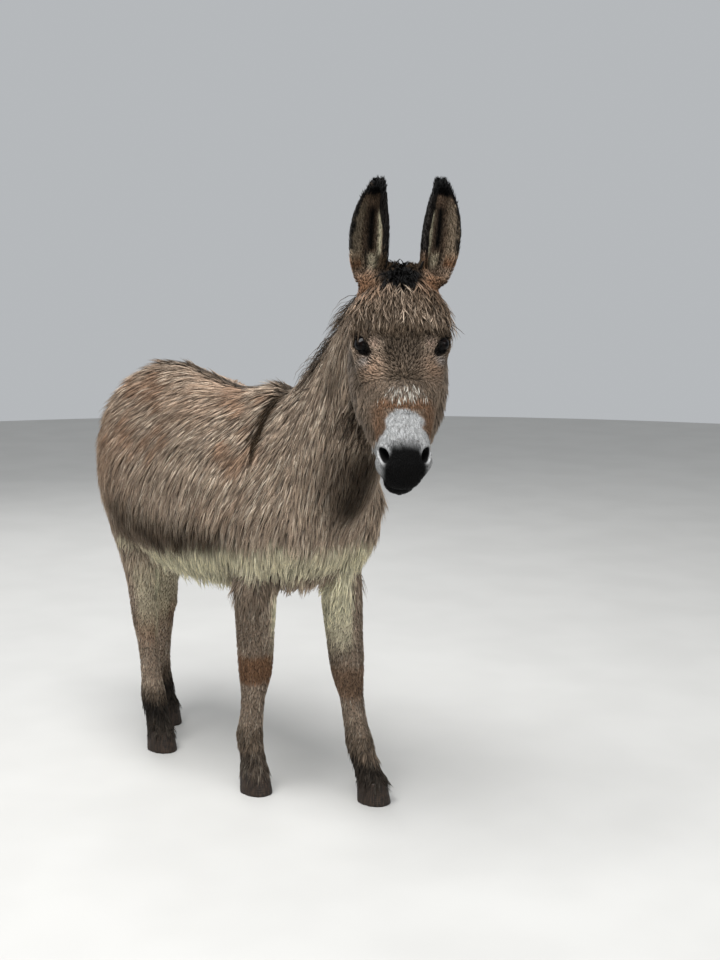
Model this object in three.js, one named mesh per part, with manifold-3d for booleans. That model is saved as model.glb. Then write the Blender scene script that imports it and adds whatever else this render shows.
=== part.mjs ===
// A standing donkey at life size, in millimetres, with its head turned to its right.
// Until the last lines the trunk points along +X, its left is +Y, and the hooves stand on Z = 0.
import * as THREE from "three";
import { mergeVertices } from "three/addons/utils/BufferGeometryUtils.js";
import Module from "manifold-3d";

const wasm = await Module();
wasm.setup();

const { degToRad, lerp } = THREE.MathUtils;
const vec = (x, y, z) => new THREE.Vector3(x, y, z);

// Driving dimensions
const withersHeight = 1127;
const croupHeight = 1171;
const headLength = 518;
const headYaw = degToRad(-37.5);
const headPitch = degToRad(70);
const poll = vec(740, -60, 1398);
const earLength = 238;
const earWall = 10;
const eyeRadius = 20;
const elbowHeight = 592;
const kneeHeight = 350;
const hockHeight = 405;
const fetlockHeight = 155;
const coronetHeight = 62;
const seam = 0.6;
const eyeGap = 0.3;

// Each leg: where its hoof stands, then how far its other joints lie from the hoof along X.
// top is the elbow of a foreleg and the hip of a hindleg.
const legs = {
  fore_right: { hoof: [219, -95], side: -1, fetlock: -19, joint: 13, top: 31 },
  fore_left: { hoof: [486, 94], side: 1, fetlock: -52, joint: -110, top: -150 },
  hind_right: { hoof: [-243, -84], side: -1, fetlock: -33, joint: -56, top: -132 },
  hind_left: { hoof: [-442, 74], side: 1, fetlock: -34, joint: -14, top: 67 },
};

const bodyLeft = vec(0, 1, 0);

// The points of a rounded section: a roundness of 2 is an ellipse, less is a ridge, more is squarer.
function sectionPoint(angle, { width, above, below, crown, keel }) {
  const across = Math.cos(angle);
  const up = Math.sin(angle);
  const power = 2 / (up > 0 ? crown : keel);
  const swell = (value) => Math.sign(value) * Math.abs(value) ** power;
  return [width * swell(across), (up > 0 ? above : below) * swell(up)];
}

// A closed body through its stations. Each station has a centre, a half-width, and how far it
// reaches above and below. left(t) is the way to the left side at t. domes are the lengths of
// the rounded ends.
function loft(stations, { rings, sides, left = () => bodyLeft, domes = [0, 0] }) {
  const path = new THREE.CatmullRomCurve3(stations.map((s) => vec(...s.at)));
  const reach = new THREE.CatmullRomCurve3(stations.map((s) => vec(s.width, s.above, s.below)));
  const shape = new THREE.CatmullRomCurve3(stations.map((s) => vec(s.crown ?? 2, s.keel ?? 2, 0)));
  const domeRings = 2;
  const vertices = [];
  const ring = (t, push, shrink) => {
    const along = path.getTangent(t);
    const side = left(t).clone().addScaledVector(along, -left(t).dot(along)).normalize();
    const up = vec().crossVectors(along, side);
    const centre = path.getPoint(t).addScaledVector(along, push);
    const size = reach.getPoint(t).multiplyScalar(shrink);
    const round = shape.getPoint(t);
    const section = { width: size.x, above: size.y, below: size.z, crown: round.x, keel: round.y };
    for (let j = 0; j < sides; j++) {
      const [x, y] = sectionPoint((j / sides) * 2 * Math.PI, section);
      vertices.push(centre.clone().addScaledVector(side, x).addScaledVector(up, y));
    }
  };
  const domeAngle = (i) => (i / domeRings) * (Math.PI / 2);
  for (let i = domeRings - 1; domes[0] && i > 0; i--) {
    ring(0, -domes[0] * Math.sin(domeAngle(i)), Math.cos(domeAngle(i)));
  }
  for (let i = 0; i <= rings; i++) ring(i / rings, 0, 1);
  for (let i = 1; domes[1] && i < domeRings; i++) {
    ring(1, domes[1] * Math.sin(domeAngle(i)), Math.cos(domeAngle(i)));
  }
  const bands = vertices.length / sides - 1;
  vertices.push(path.getPoint(0).addScaledVector(path.getTangent(0), -domes[0]));
  vertices.push(path.getPoint(1).addScaledVector(path.getTangent(1), domes[1]));
  const [start, end] = [vertices.length - 2, vertices.length - 1];
  const faces = [];
  for (let j = 0; j < sides; j++) {
    const k = (j + 1) % sides;
    faces.push(start, k, j, end, bands * sides + j, bands * sides + k);
    for (let i = 0; i < bands; i++) {
      const [a, b] = [i * sides + j, i * sides + k];
      faces.push(a, b, b + sides, a, b + sides, a + sides);
    }
  }
  return new THREE.BufferGeometry().setFromPoints(vertices).setIndex(faces);
}

// A ball with its own reach along each axis; detail is its number of bands
function ball(at, radii, detail = 6) {
  return new THREE.SphereGeometry(1, detail * 2, detail).scale(...radii).translate(...at);
}

// A three.js geometry as a manifold-3d solid, turned inside out where its faces point inwards
function solid(geometry) {
  const bare = geometry.clone().deleteAttribute("normal").deleteAttribute("uv");
  const { attributes, index } = mergeVertices(bare, 1e-3);
  const make = (triVerts) =>
    new wasm.Manifold(
      new wasm.Mesh({ numProp: 3, vertProperties: attributes.position.array, triVerts }),
    );
  const corners = new Uint32Array(index.array);
  const made = make(corners);
  return made.volume() > 0 ? made : make(corners.reverse());
}

function geometryOf(piece) {
  const { numVert, numProp, vertProperties, triVerts } = piece.getMesh();
  const points = new Float32Array(numVert * 3);
  for (let i = 0; i < numVert; i++) {
    points.set(vertProperties.subarray(i * numProp, i * numProp + 3), i * 3);
  }
  return new THREE.BufferGeometry()
    .setAttribute("position", new THREE.BufferAttribute(points, 3))
    .setIndex(new THREE.BufferAttribute(triVerts, 1));
}

const joined = (geometries) => geometries.map(solid).reduce((a, b) => a.add(b));

// Trunk rows: x, top, bottom, half-width, level of the widest point, how round the back is
const trunkRows = [
  [-538, 1020, 750, 74, 895, 2],
  [-500, 1070, 690, 110, 890, 1.9],
  [-425, 1131, 618, 170, 880, 1.65],
  [-310, croupHeight, 568, 210, 850, 1.45],
  [-200, 1147, 548, 226, 800, 1.65],
  [-60, 1110, 538, 240, 765, 1.9],
  [80, 1098, 538, 236, 765, 1.9],
  [190, 1106, 552, 214, 780, 1.75],
  [290, withersHeight, 574, 188, 800, 1.65],
  [370, 1080, 602, 172, 815, 1.7],
  [430, 1000, 650, 144, 815, 1.9],
];

function trunk() {
  const stations = trunkRows.map(([x, top, bottom, width, level, crown]) => ({
    at: [x, 0, level],
    width,
    above: top - level,
    below: level - bottom,
    crown,
    keel: 2.1,
  }));
  return loft(stations, { rings: 16, sides: 20, domes: [26, 42] });
}

// The head is built with the poll at its origin, +X to the nose, +Y to its left and +Z out of
// the forehead. share is a share of the head's length.
const headMatrix = new THREE.Matrix4()
  .makeTranslation(poll)
  .multiply(new THREE.Matrix4().makeRotationZ(headYaw))
  .multiply(new THREE.Matrix4().makeRotationY(headPitch));
const headLeft = bodyLeft.clone().transformDirection(headMatrix);
const inHead = (share, y, z) => vec(share * headLength, y, z).applyMatrix4(headMatrix);
const headWay = (x, y, z) => vec(x, y, z).transformDirection(headMatrix);

// Skull and nose rows: share, top, bottom, half-width, how square the brow and nose are
const skullRows = [
  [-0.04, 10, -96, 76, 2],
  [0.07, 42, -112, 102, 2.1],
  [0.16, 62, -116, 115, 2.3],
  [0.26, 68, -112, 116, 2.5],
  [0.35, 64, -102, 113, 2.5],
  [0.46, 54, -92, 103, 2.1],
  [0.58, 45, -84, 88, 1.9],
  [0.7, 39, -76, 68, 2],
  [0.8, 35, -68, 58, 2.2],
  [0.88, 28, -60, 59, 2.3],
  [0.93, 12, -54, 51, 2.2],
  [0.96, -4, -48, 39, 2.1],
];

// Jaw rows: share, centre level, half-width, reach above, reach below
const jawRows = [
  [0.04, -66, 74, 50, 60],
  [0.15, -78, 104, 64, 92],
  [0.28, -80, 117, 76, 98],
  [0.43, -74, 122, 80, 82],
  [0.57, -64, 114, 68, 62],
  [0.68, -58, 91, 54, 46],
  [0.78, -56, 67, 44, 38],
  [0.87, -56, 51, 34, 34],
];

function headPieces() {
  const skull = skullRows.map(([share, top, bottom, width, crown]) => ({
    at: [share * headLength, 0, (top + bottom) / 4],
    width,
    above: top - (top + bottom) / 4,
    below: (top + bottom) / 4 - bottom,
    crown,
  }));
  const jaw = jawRows.map(([share, level, width, above, below]) => ({
    at: [share * headLength, 0, level],
    width,
    above,
    below,
  }));
  const chin = ball([0.915 * headLength, -2, -70], [36, 43, 25], 6);
  const pieces = [
    loft(skull, { rings: 12, sides: 16, domes: [16, 9] }),
    loft(jaw, { rings: 8, sides: 12, domes: [14, 14] }),
    chin,
  ];
  for (const side of [-1, 1]) {
    const orbit = ball([0.325 * headLength, side * 86, 20], [46, 35, 33], 5);
    const nostrilWing = ball([0.86 * headLength, side * 46, -12], [34, 20, 32], 5);
    pieces.push(orbit, nostrilWing);
  }
  return pieces.map((piece) => piece.applyMatrix4(headMatrix));
}

// An eye's centre, and a ball about it
const eyeAt = (side) => [0.335 * headLength, side * 90, 24];
const eyeball = (side, radius) =>
  ball(eyeAt(side), [radius, radius, radius]).applyMatrix4(headMatrix);

// What the head lacks: the openings of the eyelids, the sockets, the nostrils and the mouth's line
function headHollows() {
  const hollows = [];
  for (const side of [-1, 1]) {
    const [x, y, z] = eyeAt(side);
    const lids = ball([x, y + side * 15, z + 13], [23, 18, 17], 5);
    const nostril = ball([0, 0, 0], [18, 9, 8], 5)
      .rotateZ(side * degToRad(-24))
      .translate(0.832 * headLength, side * 54, 13);
    hollows.push(eyeball(side, eyeRadius + eyeGap));
    hollows.push(lids.applyMatrix4(headMatrix), nostril.applyMatrix4(headMatrix));
  }
  const lipDepth = 9;
  const mouth = [0.93 * headLength, 0, -48];
  const slit = new THREE.CylinderGeometry(60, 60, 1.6, 12).rotateX(Math.PI / 2).translate(...mouth);
  const gums = ball(mouth, [38 - lipDepth, 41 - lipDepth, 30], 4);
  const lips = solid(slit).subtract(solid(gums));
  return hollows.map(solid).concat(solid(geometryOf(lips).applyMatrix4(headMatrix)));
}

// Neck rows: centre, half-width, reach up to the crest and down to the throat
const neckRows = [
  [310, 0, 835, 168, 250, 190],
  [385, 0, 920, 154, 225, 185],
  [465, 0, 1020, 128, 182, 160],
  [535, -5, 1120, 106, 144, 128],
  [597, -26, 1208, 94, 112, 112],
  [650, -42, 1280, 81, 92, 100],
  [702, -52, 1345, 67, 70, 84],
];

function neck() {
  const stations = neckRows.map(([x, y, z, width, above, below]) => ({
    at: [x, y, z],
    width,
    above,
    below,
    crown: 1.7,
  }));
  const left = (t) => bodyLeft.clone().lerp(headLeft, t * t).normalize();
  return loft(stations, { rings: 10, sides: 16, left, domes: [20, 36] });
}

// The shoulder blade and upper arm lie on the trunk and lead into the leg.
// Rows: how far ahead of the elbow, how far out, height, half-width, half-length
const shoulderRows = [
  [0, 76, 980, 32, 60],
  [36, 106, 900, 50, 84],
  [60, 124, 815, 54, 96],
  [40, 120, 715, 58, 90],
  [6, 112, 655, 54, 76],
];

function shoulder(leg) {
  const elbow = leg.hoof[0] + leg.top;
  const stations = shoulderRows.map(([ahead, out, z, width, length]) => ({
    at: [elbow + ahead, leg.side * out, z],
    width,
    above: length,
    below: length,
  }));
  return loft(stations, { rings: 6, sides: 10, domes: [30, 20] });
}

// Turns leg rows into stations. A row has its place fore and aft, how far it stands out from
// the hoof, its height, its half-width, and its reach forwards and backwards.
function legStations(leg, rows) {
  const [hoofX, hoofY] = leg.hoof;
  return rows.map(([x, spread, z, width, front, back]) => ({
    at: [hoofX + x, hoofY + leg.side * spread, z],
    width,
    above: front,
    below: back,
  }));
}

// Fetlock and pastern are alike in all four legs.
const footRows = (leg) => [
  [leg.fetlock, 0, fetlockHeight, 37, 36, 46],
  [leg.fetlock * 0.6, 0, fetlockHeight - 42, 31, 33, 38],
  [leg.fetlock * 0.2, 0, coronetHeight - 4, 34, 40, 40],
];

function foreleg(leg) {
  const forearm = (share) => lerp(leg.joint, leg.top, share);
  const cannon = (share) => lerp(leg.fetlock, leg.joint, share);
  const rows = [
    [leg.top, 17, 680, 58, 84, 84],
    [forearm(0.85), 14, elbowHeight, 57, 70, 72],
    [forearm(0.6), 11, 515, 54, 59, 61],
    [forearm(0.3), 8, 435, 50, 51, 53],
    [leg.joint, 5, kneeHeight + 16, 48, 48, 48],
    [cannon(0.9), 4, kneeHeight - 22, 45, 44, 42],
    [cannon(0.6), 3, 270, 32, 32, 35],
    [cannon(0.3), 1, fetlockHeight + 48, 30, 31, 36],
    ...footRows(leg),
  ];
  return loft(legStations(leg, rows), { rings: 15, sides: 10 });
}

function hindleg(leg) {
  const thigh = (share) => lerp(leg.joint, leg.top, share);
  const cannon = (share) => lerp(leg.fetlock, leg.joint, share);
  const rows = [
    [leg.top, 6, 920, 78, 126, 92],
    [thigh(0.87), 12, 800, 84, 152, 106],
    [thigh(0.64), 16, 700, 76, 132, 94],
    [thigh(0.3), 15, 600, 58, 88, 68],
    [thigh(0.08), 12, 505, 43, 58, 54],
    [leg.joint, 11, hockHeight + 28, 37, 44, 53],
    [leg.joint, 10, hockHeight - 18, 36, 44, 43],
    [cannon(0.7), 7, 320, 29, 33, 33],
    [cannon(0.35), 3, 230, 27, 29, 32],
    ...footRows(leg),
  ];
  return loft(legStations(leg, rows), { rings: 16, sides: 10 });
}

// A hoof is narrow at the coronet and flares down to a flat sole.
// Rows: share of the coronet's height, half-width, reach forwards and backwards
const hoofRows = [
  [1.15, 35, 38, 44],
  [0.7, 36, 43, 43],
  [0.35, 38, 49, 40],
  [0, 40, 55, 38],
];

function hoof(leg) {
  const [x, y] = leg.hoof;
  const stations = hoofRows.map(([share, width, front, back]) => ({
    at: [x, y, share * coronetHeight],
    width,
    above: front,
    below: back,
    crown: 2.2,
    keel: 2.6,
  }));
  return loft(stations, { rings: 3, sides: 14 });
}

// Tail rows, from the root to the tip of the hair: x, y, height, half-thickness
const tailRows = [
  [-500, 0, 1006, 44],
  [-566, 2, 986, 36],
  [-610, 10, 920, 28],
  [-616, 30, 830, 24],
  [-602, 58, 720, 24],
  [-584, 86, 610, 30],
  [-560, 116, 500, 33],
  [-548, 128, 410, 22],
];

function tail() {
  const stations = tailRows.map(([x, y, z, thickness]) => ({
    at: [x, y, z],
    width: thickness,
    above: thickness,
    below: thickness,
  }));
  return loft(stations, { rings: 12, sides: 8, domes: [10, 26] });
}

// An ear stands along +Z and opens along +X. Rows: share of its length, half-width, half-depth
const earRows = [
  [0, 32, 30],
  [0.12, 40, 34],
  [0.28, 46, 36],
  [0.48, 48, 34],
  [0.64, 44, 30],
  [0.78, 36, 24],
  [0.91, 25, 16],
  [1, 13, 9],
];

// Each ear: which side it is on, how far out its base is, its turn outwards, its sideways bend
const ears = {
  ear_right: { side: -1, base: 68, turn: -16, bend: (share) => 27 * share ** 4 },
  ear_left: { side: 1, base: 86, turn: 12, bend: (share) => 19 * Math.sin(share * 2.4) },
};

function ear(bend) {
  const stations = (rows, narrower, deeper, forward) =>
    rows.map(([share, width, depth]) => ({
      at: [forward, bend(share), share * earLength],
      width: width - narrower,
      above: depth + deeper,
      below: depth + deeper,
    }));
  const hollowRows = earRows.slice(1, -1);
  const outer = loft(stations(earRows, 0, 0, 0), { rings: 9, sides: 10, domes: [6, 6] });
  const hollow = loft(stations(hollowRows, earWall, 5, 5 + earWall), {
    rings: 8,
    sides: 8,
    domes: [10, 8],
  });
  return solid(outer).subtract(solid(hollow));
}

function earMatrix({ side, base, turn }) {
  return new THREE.Matrix4()
    .makeTranslation(inHead(0.022, side * base, -30))
    .multiply(new THREE.Matrix4().makeRotationZ(headYaw))
    .multiply(new THREE.Matrix4().makeRotationY(degToRad(5)))
    .multiply(new THREE.Matrix4().makeRotationZ(degToRad(turn)));
}

// A thin round cut through the flesh, square to a direction
function cut(at, facing, radius) {
  const turn = new THREE.Quaternion().setFromUnitVectors(vec(0, 1, 0), facing.clone().normalize());
  const disc = new THREE.CylinderGeometry(radius, radius, seam, 28).applyQuaternion(turn);
  return solid(disc.translate(at.x, at.y, at.z));
}

// The whole animal in one piece
let flesh = joined([
  trunk(),
  neck(),
  tail(),
  ...headPieces(),
  ...[legs.fore_right, legs.fore_left].flatMap((leg) => [shoulder(leg), foreleg(leg), hoof(leg)]),
  ...[legs.hind_right, legs.hind_left].flatMap((leg) => [hindleg(leg), hoof(leg)]),
]);
for (const one of Object.values(ears)) {
  flesh = flesh.add(solid(geometryOf(ear(one.bend)).applyMatrix4(earMatrix(one))));
}
for (const hollow of headHollows()) flesh = flesh.subtract(hollow);

// Where it is parted, and a point inside each part to know it by
const cuts = [
  cut(inHead(0.21, -45, -170), headWay(-0.2, 0, -0.98), 200),
  cut(vec(395, 0, 948), vec(0.86, 0, 0.51), 275),
  cut(vec(-379, 0, 748), vec(-0.716, 0, -0.698), 280),
  cut(vec(-610, 10, 920), vec(-0.3, 0.05, -0.95), 38),
  cut(vec(-602, 58, 720), vec(0.14, 0.25, -0.96), 36),
];
const anchors = {
  trunk: vec(0, 0, 800),
  neck: vec(500, 4, 1120),
  head: inHead(0.5, 0, -20),
  tail_dock: vec(-616, 30, 830),
  tail_switch: vec(-560, 116, 500),
};
for (const [name, one] of Object.entries(ears)) {
  const matrix = earMatrix(one);
  const up = vec(0, 0, 1).transformDirection(matrix);
  cuts.push(cut(vec(0, one.bend(0.22), 0.22 * earLength).applyMatrix4(matrix), up, 60));
  anchors[name] = vec(-28, one.bend(0.5), 0.5 * earLength).applyMatrix4(matrix);
}
for (const [name, leg] of Object.entries(legs)) {
  const [x, y] = leg.hoof;
  const fore = name.startsWith("fore");
  const upright = vec(0, 0, 1);
  const joint = vec(x + leg.joint, y + leg.side * 8, (fore ? kneeHeight : hockHeight) + 12);
  cuts.push(cut(joint, upright, fore ? 62 : 74));
  cuts.push(cut(vec(x - 2, y, coronetHeight), upright, 58));
  if (fore) {
    const elbow = vec(x + lerp(leg.joint, leg.top, 0.85), y + leg.side * 13, elbowHeight - 28);
    cuts.push(cut(elbow, vec(0, -leg.side * 0.55, 0.85), 100));
  }
  anchors[`${name}_upper`] = joint.clone().setZ(joint.z + 60);
  anchors[`${name}_lower`] = vec(x + leg.fetlock, y, fetlockHeight);
  anchors[`${name}_hoof`] = vec(x, y, coronetHeight / 2);
}

function partAt(pieces, point) {
  const probe = solid(ball(point.toArray(), [4, 4, 4], 4));
  return pieces.find((piece) => piece.intersect(probe).volume() > 1);
}

const parted = cuts.reduce((left, one) => left.subtract(one), flesh).decompose();
const midline = cut(vec(-400, 0, 700), bodyLeft, 500);
const hindquarters = partAt(parted, anchors.hind_left_upper);
const pieces = parted.filter((piece) => piece !== hindquarters).concat(
  hindquarters.subtract(midline).decompose(),
);

const coats = {
  coat: { color: 0x8b7e73, roughness: 0.95, metalness: 0 },
  face: { color: 0x85786d, roughness: 0.95, metalness: 0 },
  dark: { color: 0x453730, roughness: 0.95, metalness: 0 },
  horn: { color: 0x2b2521, roughness: 0.6, metalness: 0 },
  eye: { color: 0x140e0b, roughness: 0.1, metalness: 0 },
};
const coatOf = (name) => {
  if (name.endsWith("hoof")) return coats.horn;
  if (name.startsWith("eye")) return coats.eye;
  if (name.startsWith("ear") || name === "tail_switch") return coats.dark;
  return name === "head" ? coats.face : coats.coat;
};

// A mesh about its own middle, placed where the part stands
function placed(name, geometry) {
  geometry.computeBoundingBox();
  const middle = geometry.boundingBox.getCenter(vec());
  geometry.translate(-middle.x, -middle.y, -middle.z).computeVertexNormals();
  const mesh = new THREE.Mesh(geometry, new THREE.MeshStandardMaterial(coatOf(name)));
  mesh.name = name;
  mesh.position.copy(middle);
  return mesh;
}

const donkey = new THREE.Group();
for (const [name, point] of Object.entries(anchors)) {
  donkey.add(placed(name, geometryOf(partAt(pieces, point))));
}
donkey.add(placed("eye_right", geometryOf(solid(eyeball(-1, eyeRadius)))));
donkey.add(placed("eye_left", geometryOf(solid(eyeball(1, eyeRadius)))));

// The frame's origin is on the floor, in the middle of what the donkey covers.
const size = new THREE.Box3().setFromObject(donkey);
const middle = size.getCenter(vec());
donkey.position.set(-middle.x, -middle.y, -size.min.z);

export default donkey;
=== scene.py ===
import math
from types import SimpleNamespace

import bmesh
import bpy
import numpy as np
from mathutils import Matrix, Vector, bvhtree, kdtree


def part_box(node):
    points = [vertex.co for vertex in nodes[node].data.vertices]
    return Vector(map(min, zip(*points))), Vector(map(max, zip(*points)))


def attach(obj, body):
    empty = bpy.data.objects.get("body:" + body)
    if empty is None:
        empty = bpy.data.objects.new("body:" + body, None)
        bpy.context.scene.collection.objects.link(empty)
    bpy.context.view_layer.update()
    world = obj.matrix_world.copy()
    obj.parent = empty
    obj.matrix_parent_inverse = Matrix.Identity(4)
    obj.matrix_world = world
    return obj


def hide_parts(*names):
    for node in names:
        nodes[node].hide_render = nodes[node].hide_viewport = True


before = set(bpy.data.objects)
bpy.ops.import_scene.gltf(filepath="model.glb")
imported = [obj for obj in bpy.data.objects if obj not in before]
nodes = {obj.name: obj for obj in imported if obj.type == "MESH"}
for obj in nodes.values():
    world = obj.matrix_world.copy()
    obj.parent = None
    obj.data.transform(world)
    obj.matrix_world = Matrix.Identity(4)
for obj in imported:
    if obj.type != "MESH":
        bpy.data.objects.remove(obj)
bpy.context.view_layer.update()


def smooth(low, high, value):
    share = np.clip((value - low) / (high - low), 0, 1)
    return share * share * (3 - 2 * share)


def between(low, high, edge, value):  # 1 from low to high, fading over edge on both sides
    return smooth(low - edge, low + edge, value) * (1 - smooth(high - edge, high + edge, value))


def spot(distance, reach):
    return np.exp(-((distance / reach) ** 2))


def unit(vectors):
    return vectors / (np.linalg.norm(vectors, axis=-1, keepdims=True) + 1e-12)


def blend(a, b, share):
    return a + (b - a) * share


def blendWays(a, b, share):  # the same for directions, one share for each
    return a + (np.asarray(b) - a) * share[:, None]


def most(*shares):  # the greatest of them at each place
    return np.maximum.reduce(np.broadcast_arrays(*shares))


def ripple(points, size, seed):  # smooth random swells, mostly within -1 and 1
    dice = np.random.default_rng(seed)
    total = np.zeros(len(points))
    for _ in range(6):
        way = unit(dice.normal(size=3))
        pitch = 2 * math.pi / size * dice.uniform(0.6, 1.6)
        total += np.sin(points @ way * pitch + dice.uniform(0, 2 * math.pi))
    return total / 3


# where the animal's parts lie
bothSides = (-1, 1)  # the right, then the left


def middle(node):
    low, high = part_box(node)
    return np.array((low + high) / 2)


chestReach = 0.501  # from the point under the middle of the back to the front of the chest
bodyZero = np.array([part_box("trunk")[1].x - chestReach, 0, 0])

headLook = {
    "length": 0.518,
    "nod": 70,  # how far the nose drops, in degrees
    "eyeShare": 0.335,  # how far down the head the eyes are
    "eyeRise": 0.024,  # how far they lie in front of the poll
}
eyes = {-1: middle("eye_right"), 1: middle("eye_left")}
headLeft = unit(eyes[1] - eyes[-1])
nod = math.radians(headLook["nod"])
headAhead = np.array([headLeft[1], -headLeft[0], 0])
skyward = np.array([0, 0, 1.0])
noseWay = headAhead * math.cos(nod) - skyward * math.sin(nod)
browWay = headAhead * math.sin(nod) + skyward * math.cos(nod)
headAxes = np.array([noseWay, headLeft, browWay])
headLength = headLook["length"]
poll = (eyes[1] + eyes[-1]) / 2
poll = poll - noseWay * headLook["eyeShare"] * headLength - browWay * headLook["eyeRise"]


def toBody(points):
    return points - bodyZero


def toHead(points):
    return (points - poll) @ headAxes.T


def fromHead(places):
    return np.asarray(places) @ headAxes + poll


earLook = {  # by side: how far out its root is, its turn in degrees, how it bends sideways going up
    -1: {"base": 0.068, "turn": -16, "bend": lambda share: 0.027 * share**4},
    1: {"base": 0.086, "turn": 12, "bend": lambda share: 0.019 * np.sin(share * 2.4)},
}
earLength = 0.238
earEnd = (0.25, 0.27)  # past the tip, its share fades out here
earRoot = {"down": 0.022, "back": 0.030, "lean": 5}  # share of the head's length, metres, degrees
earRows = {  # along the ear: half-width and half-depth
    "share": [0, 0.12, 0.28, 0.48, 0.64, 0.78, 0.91, 1],
    "wide": [0.032, 0.040, 0.046, 0.048, 0.044, 0.036, 0.025, 0.013],
    "deep": [0.030, 0.034, 0.036, 0.034, 0.030, 0.024, 0.016, 0.009],
}


def earAxes(side):
    lean, turn = math.radians(earRoot["lean"]), math.radians(earLook[side]["turn"])
    up = headAhead * math.sin(lean) + skyward * math.cos(lean)
    ahead = headAhead * math.cos(lean) - skyward * math.sin(lean)
    opening = ahead * math.cos(turn) + headLeft * math.sin(turn)
    across = headLeft * math.cos(turn) - ahead * math.sin(turn)
    return np.array([opening, across, up])


def toEar(points, side):  # out of the opening, across, up the ear
    look = earLook[side]
    root = fromHead([earRoot["down"] * headLength, side * look["base"], -earRoot["back"]])
    place = (points - root) @ earAxes(side).T
    place[:, 1] -= look["bend"](np.clip(place[:, 2] / earLength, 0, 1))
    return place


# how much of the ear, how far up it, how far inside it, how near its rim, how far across it
def earZone(points, side):
    out, across, up = toEar(points, side).T
    share = np.clip(up / earLength, 0, 1)
    wide = np.interp(share, earRows["share"], earRows["wide"])
    deep = np.interp(share, earRows["share"], earRows["deep"])
    radius = np.hypot(out / deep, across / wide)
    on = smooth(0.028, 0.05, up) * (1 - smooth(1.5, 1.9, radius)) * (1 - smooth(*earEnd, up))
    hollow = np.hypot((out - 0.015) / (deep + 0.005), across / (wide - 0.01))
    inside = 1 - smooth(1.08, 1.2, hollow)
    rim = on * smooth(0.2, 0.55, np.abs(across) / wide) * smooth(-0.1, 0.5, out / deep)
    rim = np.maximum(rim, on * smooth(0.86, 0.96, share))
    return on, share, inside, rim, across / wide


# the skin under the coat: one closed mesh over all the flesh
skinLook = {
    "voxel": 0.0056,
    "swell": 0.0006,  # of each node before they are joined
    "rounds": 60,  # of smoothing
    "thin": 0.19,  # share of the triangles left under the body's coat
    "body": 1.0,  # strength of the smoothing by region
    "head": 0.4,
    "legs": 0.22,
    "ears": 0.05,
    "hooves": 0.02,
    "near": 0.043,  # how far round each eye the mesh is finer
}


def nearEarFoot(points, side):  # where the coat turns up to the ear
    out, across, up = toEar(points, side).T
    reach = np.hypot(out / earRows["deep"][0], across / earRows["wide"][0])
    return smooth(-0.025, 0.03, up) * (1 - smooth(1.25, 1.8, reach)) * (1 - smooth(*earEnd, up))


whiteLook = {
    "half": 0.043,  # half the white's width at its top
    "widens": 0.75,  # how much wider for each metre down the face from there on
    "from": 0.372,
    "top": 0.331,  # how far down the face it starts in the middle
    "round": 0.020,  # how much later at its sides
}


def whiteHalf(hx):  # half the width of the white on the muzzle
    return whiteLook["half"] + whiteLook["widens"] * np.clip(hx - whiteLook["from"], 0, 1)


# x, y, z: ahead, to the animal's left and up. hx, hy, hz: down the face, to the left and out of the brow.
# The rest are soft shares of each region, from 0 to 1, and distances from the eyes' and nostrils' edges.
def zones(points):
    x, y, z = toBody(points).T
    hx, hy, hz = toHead(points).T
    head = smooth(-0.19, -0.12, hz) * smooth(-0.12, -0.06, hx) + smooth(0.0, 0.04, hz) * (hx < 0)
    head = np.clip(head, 0, 1) * smooth(0.60, 0.66, x)
    ear, earShare, earInside, earRim, earFoot = np.zeros((5, len(points)))
    for side in bothSides:
        on, share, inside, rim, across = earZone(points, side)
        ear = np.maximum(ear, on)
        earFoot = np.maximum(earFoot, nearEarFoot(points, side))
        earShare = np.where(on > 0, share, earShare)
        earInside = np.maximum(earInside, on * inside)
        earRim = np.maximum(earRim, on * rim * (1 - smooth(1.3, 1.6, np.abs(across))))
    tail = (1 - smooth(-0.60, -0.575, x)) * (1 - smooth(0.93, 0.97, z))
    tail = np.maximum(tail, (1 - smooth(-0.52, -0.50, x)) * (y > 0.04) * (1 - smooth(0.6, 0.64, z)))
    tail *= ~((np.hypot(x + 0.462, y - 0.074) < 0.075) & (z < 0.62))
    lid = lidEdge(points)
    nostril = np.full(len(points), 9.0)  # far off
    for side in bothSides:
        ring, _, out = nostrilRing(points, side)
        nostril = np.where(np.abs(out) < 0.03, np.minimum(nostril, ring), nostril)
    muzzle = smooth(0.328, 0.342, hx) * (1 - smooth(0.0, 0.008, np.abs(hy) - whiteHalf(hx)))
    muzzle = np.maximum(muzzle, smooth(0.395, 0.415, hx))
    crest = smooth(0.36, 0.44, x) * spot(y + 0.06 * smooth(0.5, 0.72, x), 0.035) * (1 - head) * (1 - ear)
    crest = crest * smooth(1.0, 1.08, z)
    return SimpleNamespace(
        points=points, x=x, y=y, z=z, hx=hx, hy=hy, hz=hz, nostril=nostril, lid=lid,
        head=head, muzzle=muzzle, brow=1 - smooth(0.016, 0.034, lid), tail=tail, crest=crest,
        ear=ear, earShare=earShare, earInside=earInside, earRim=earRim, earFoot=earFoot,
        leg=(1 - smooth(0.50, 0.60, z)) * (1 - tail), hoof=1 - smooth(0.058, 0.066, z),
        belly=(1 - smooth(0.60, 0.68, z)) * smooth(-0.35, -0.25, x) * (1 - smooth(0.42, 0.5, x)),
    )


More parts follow.
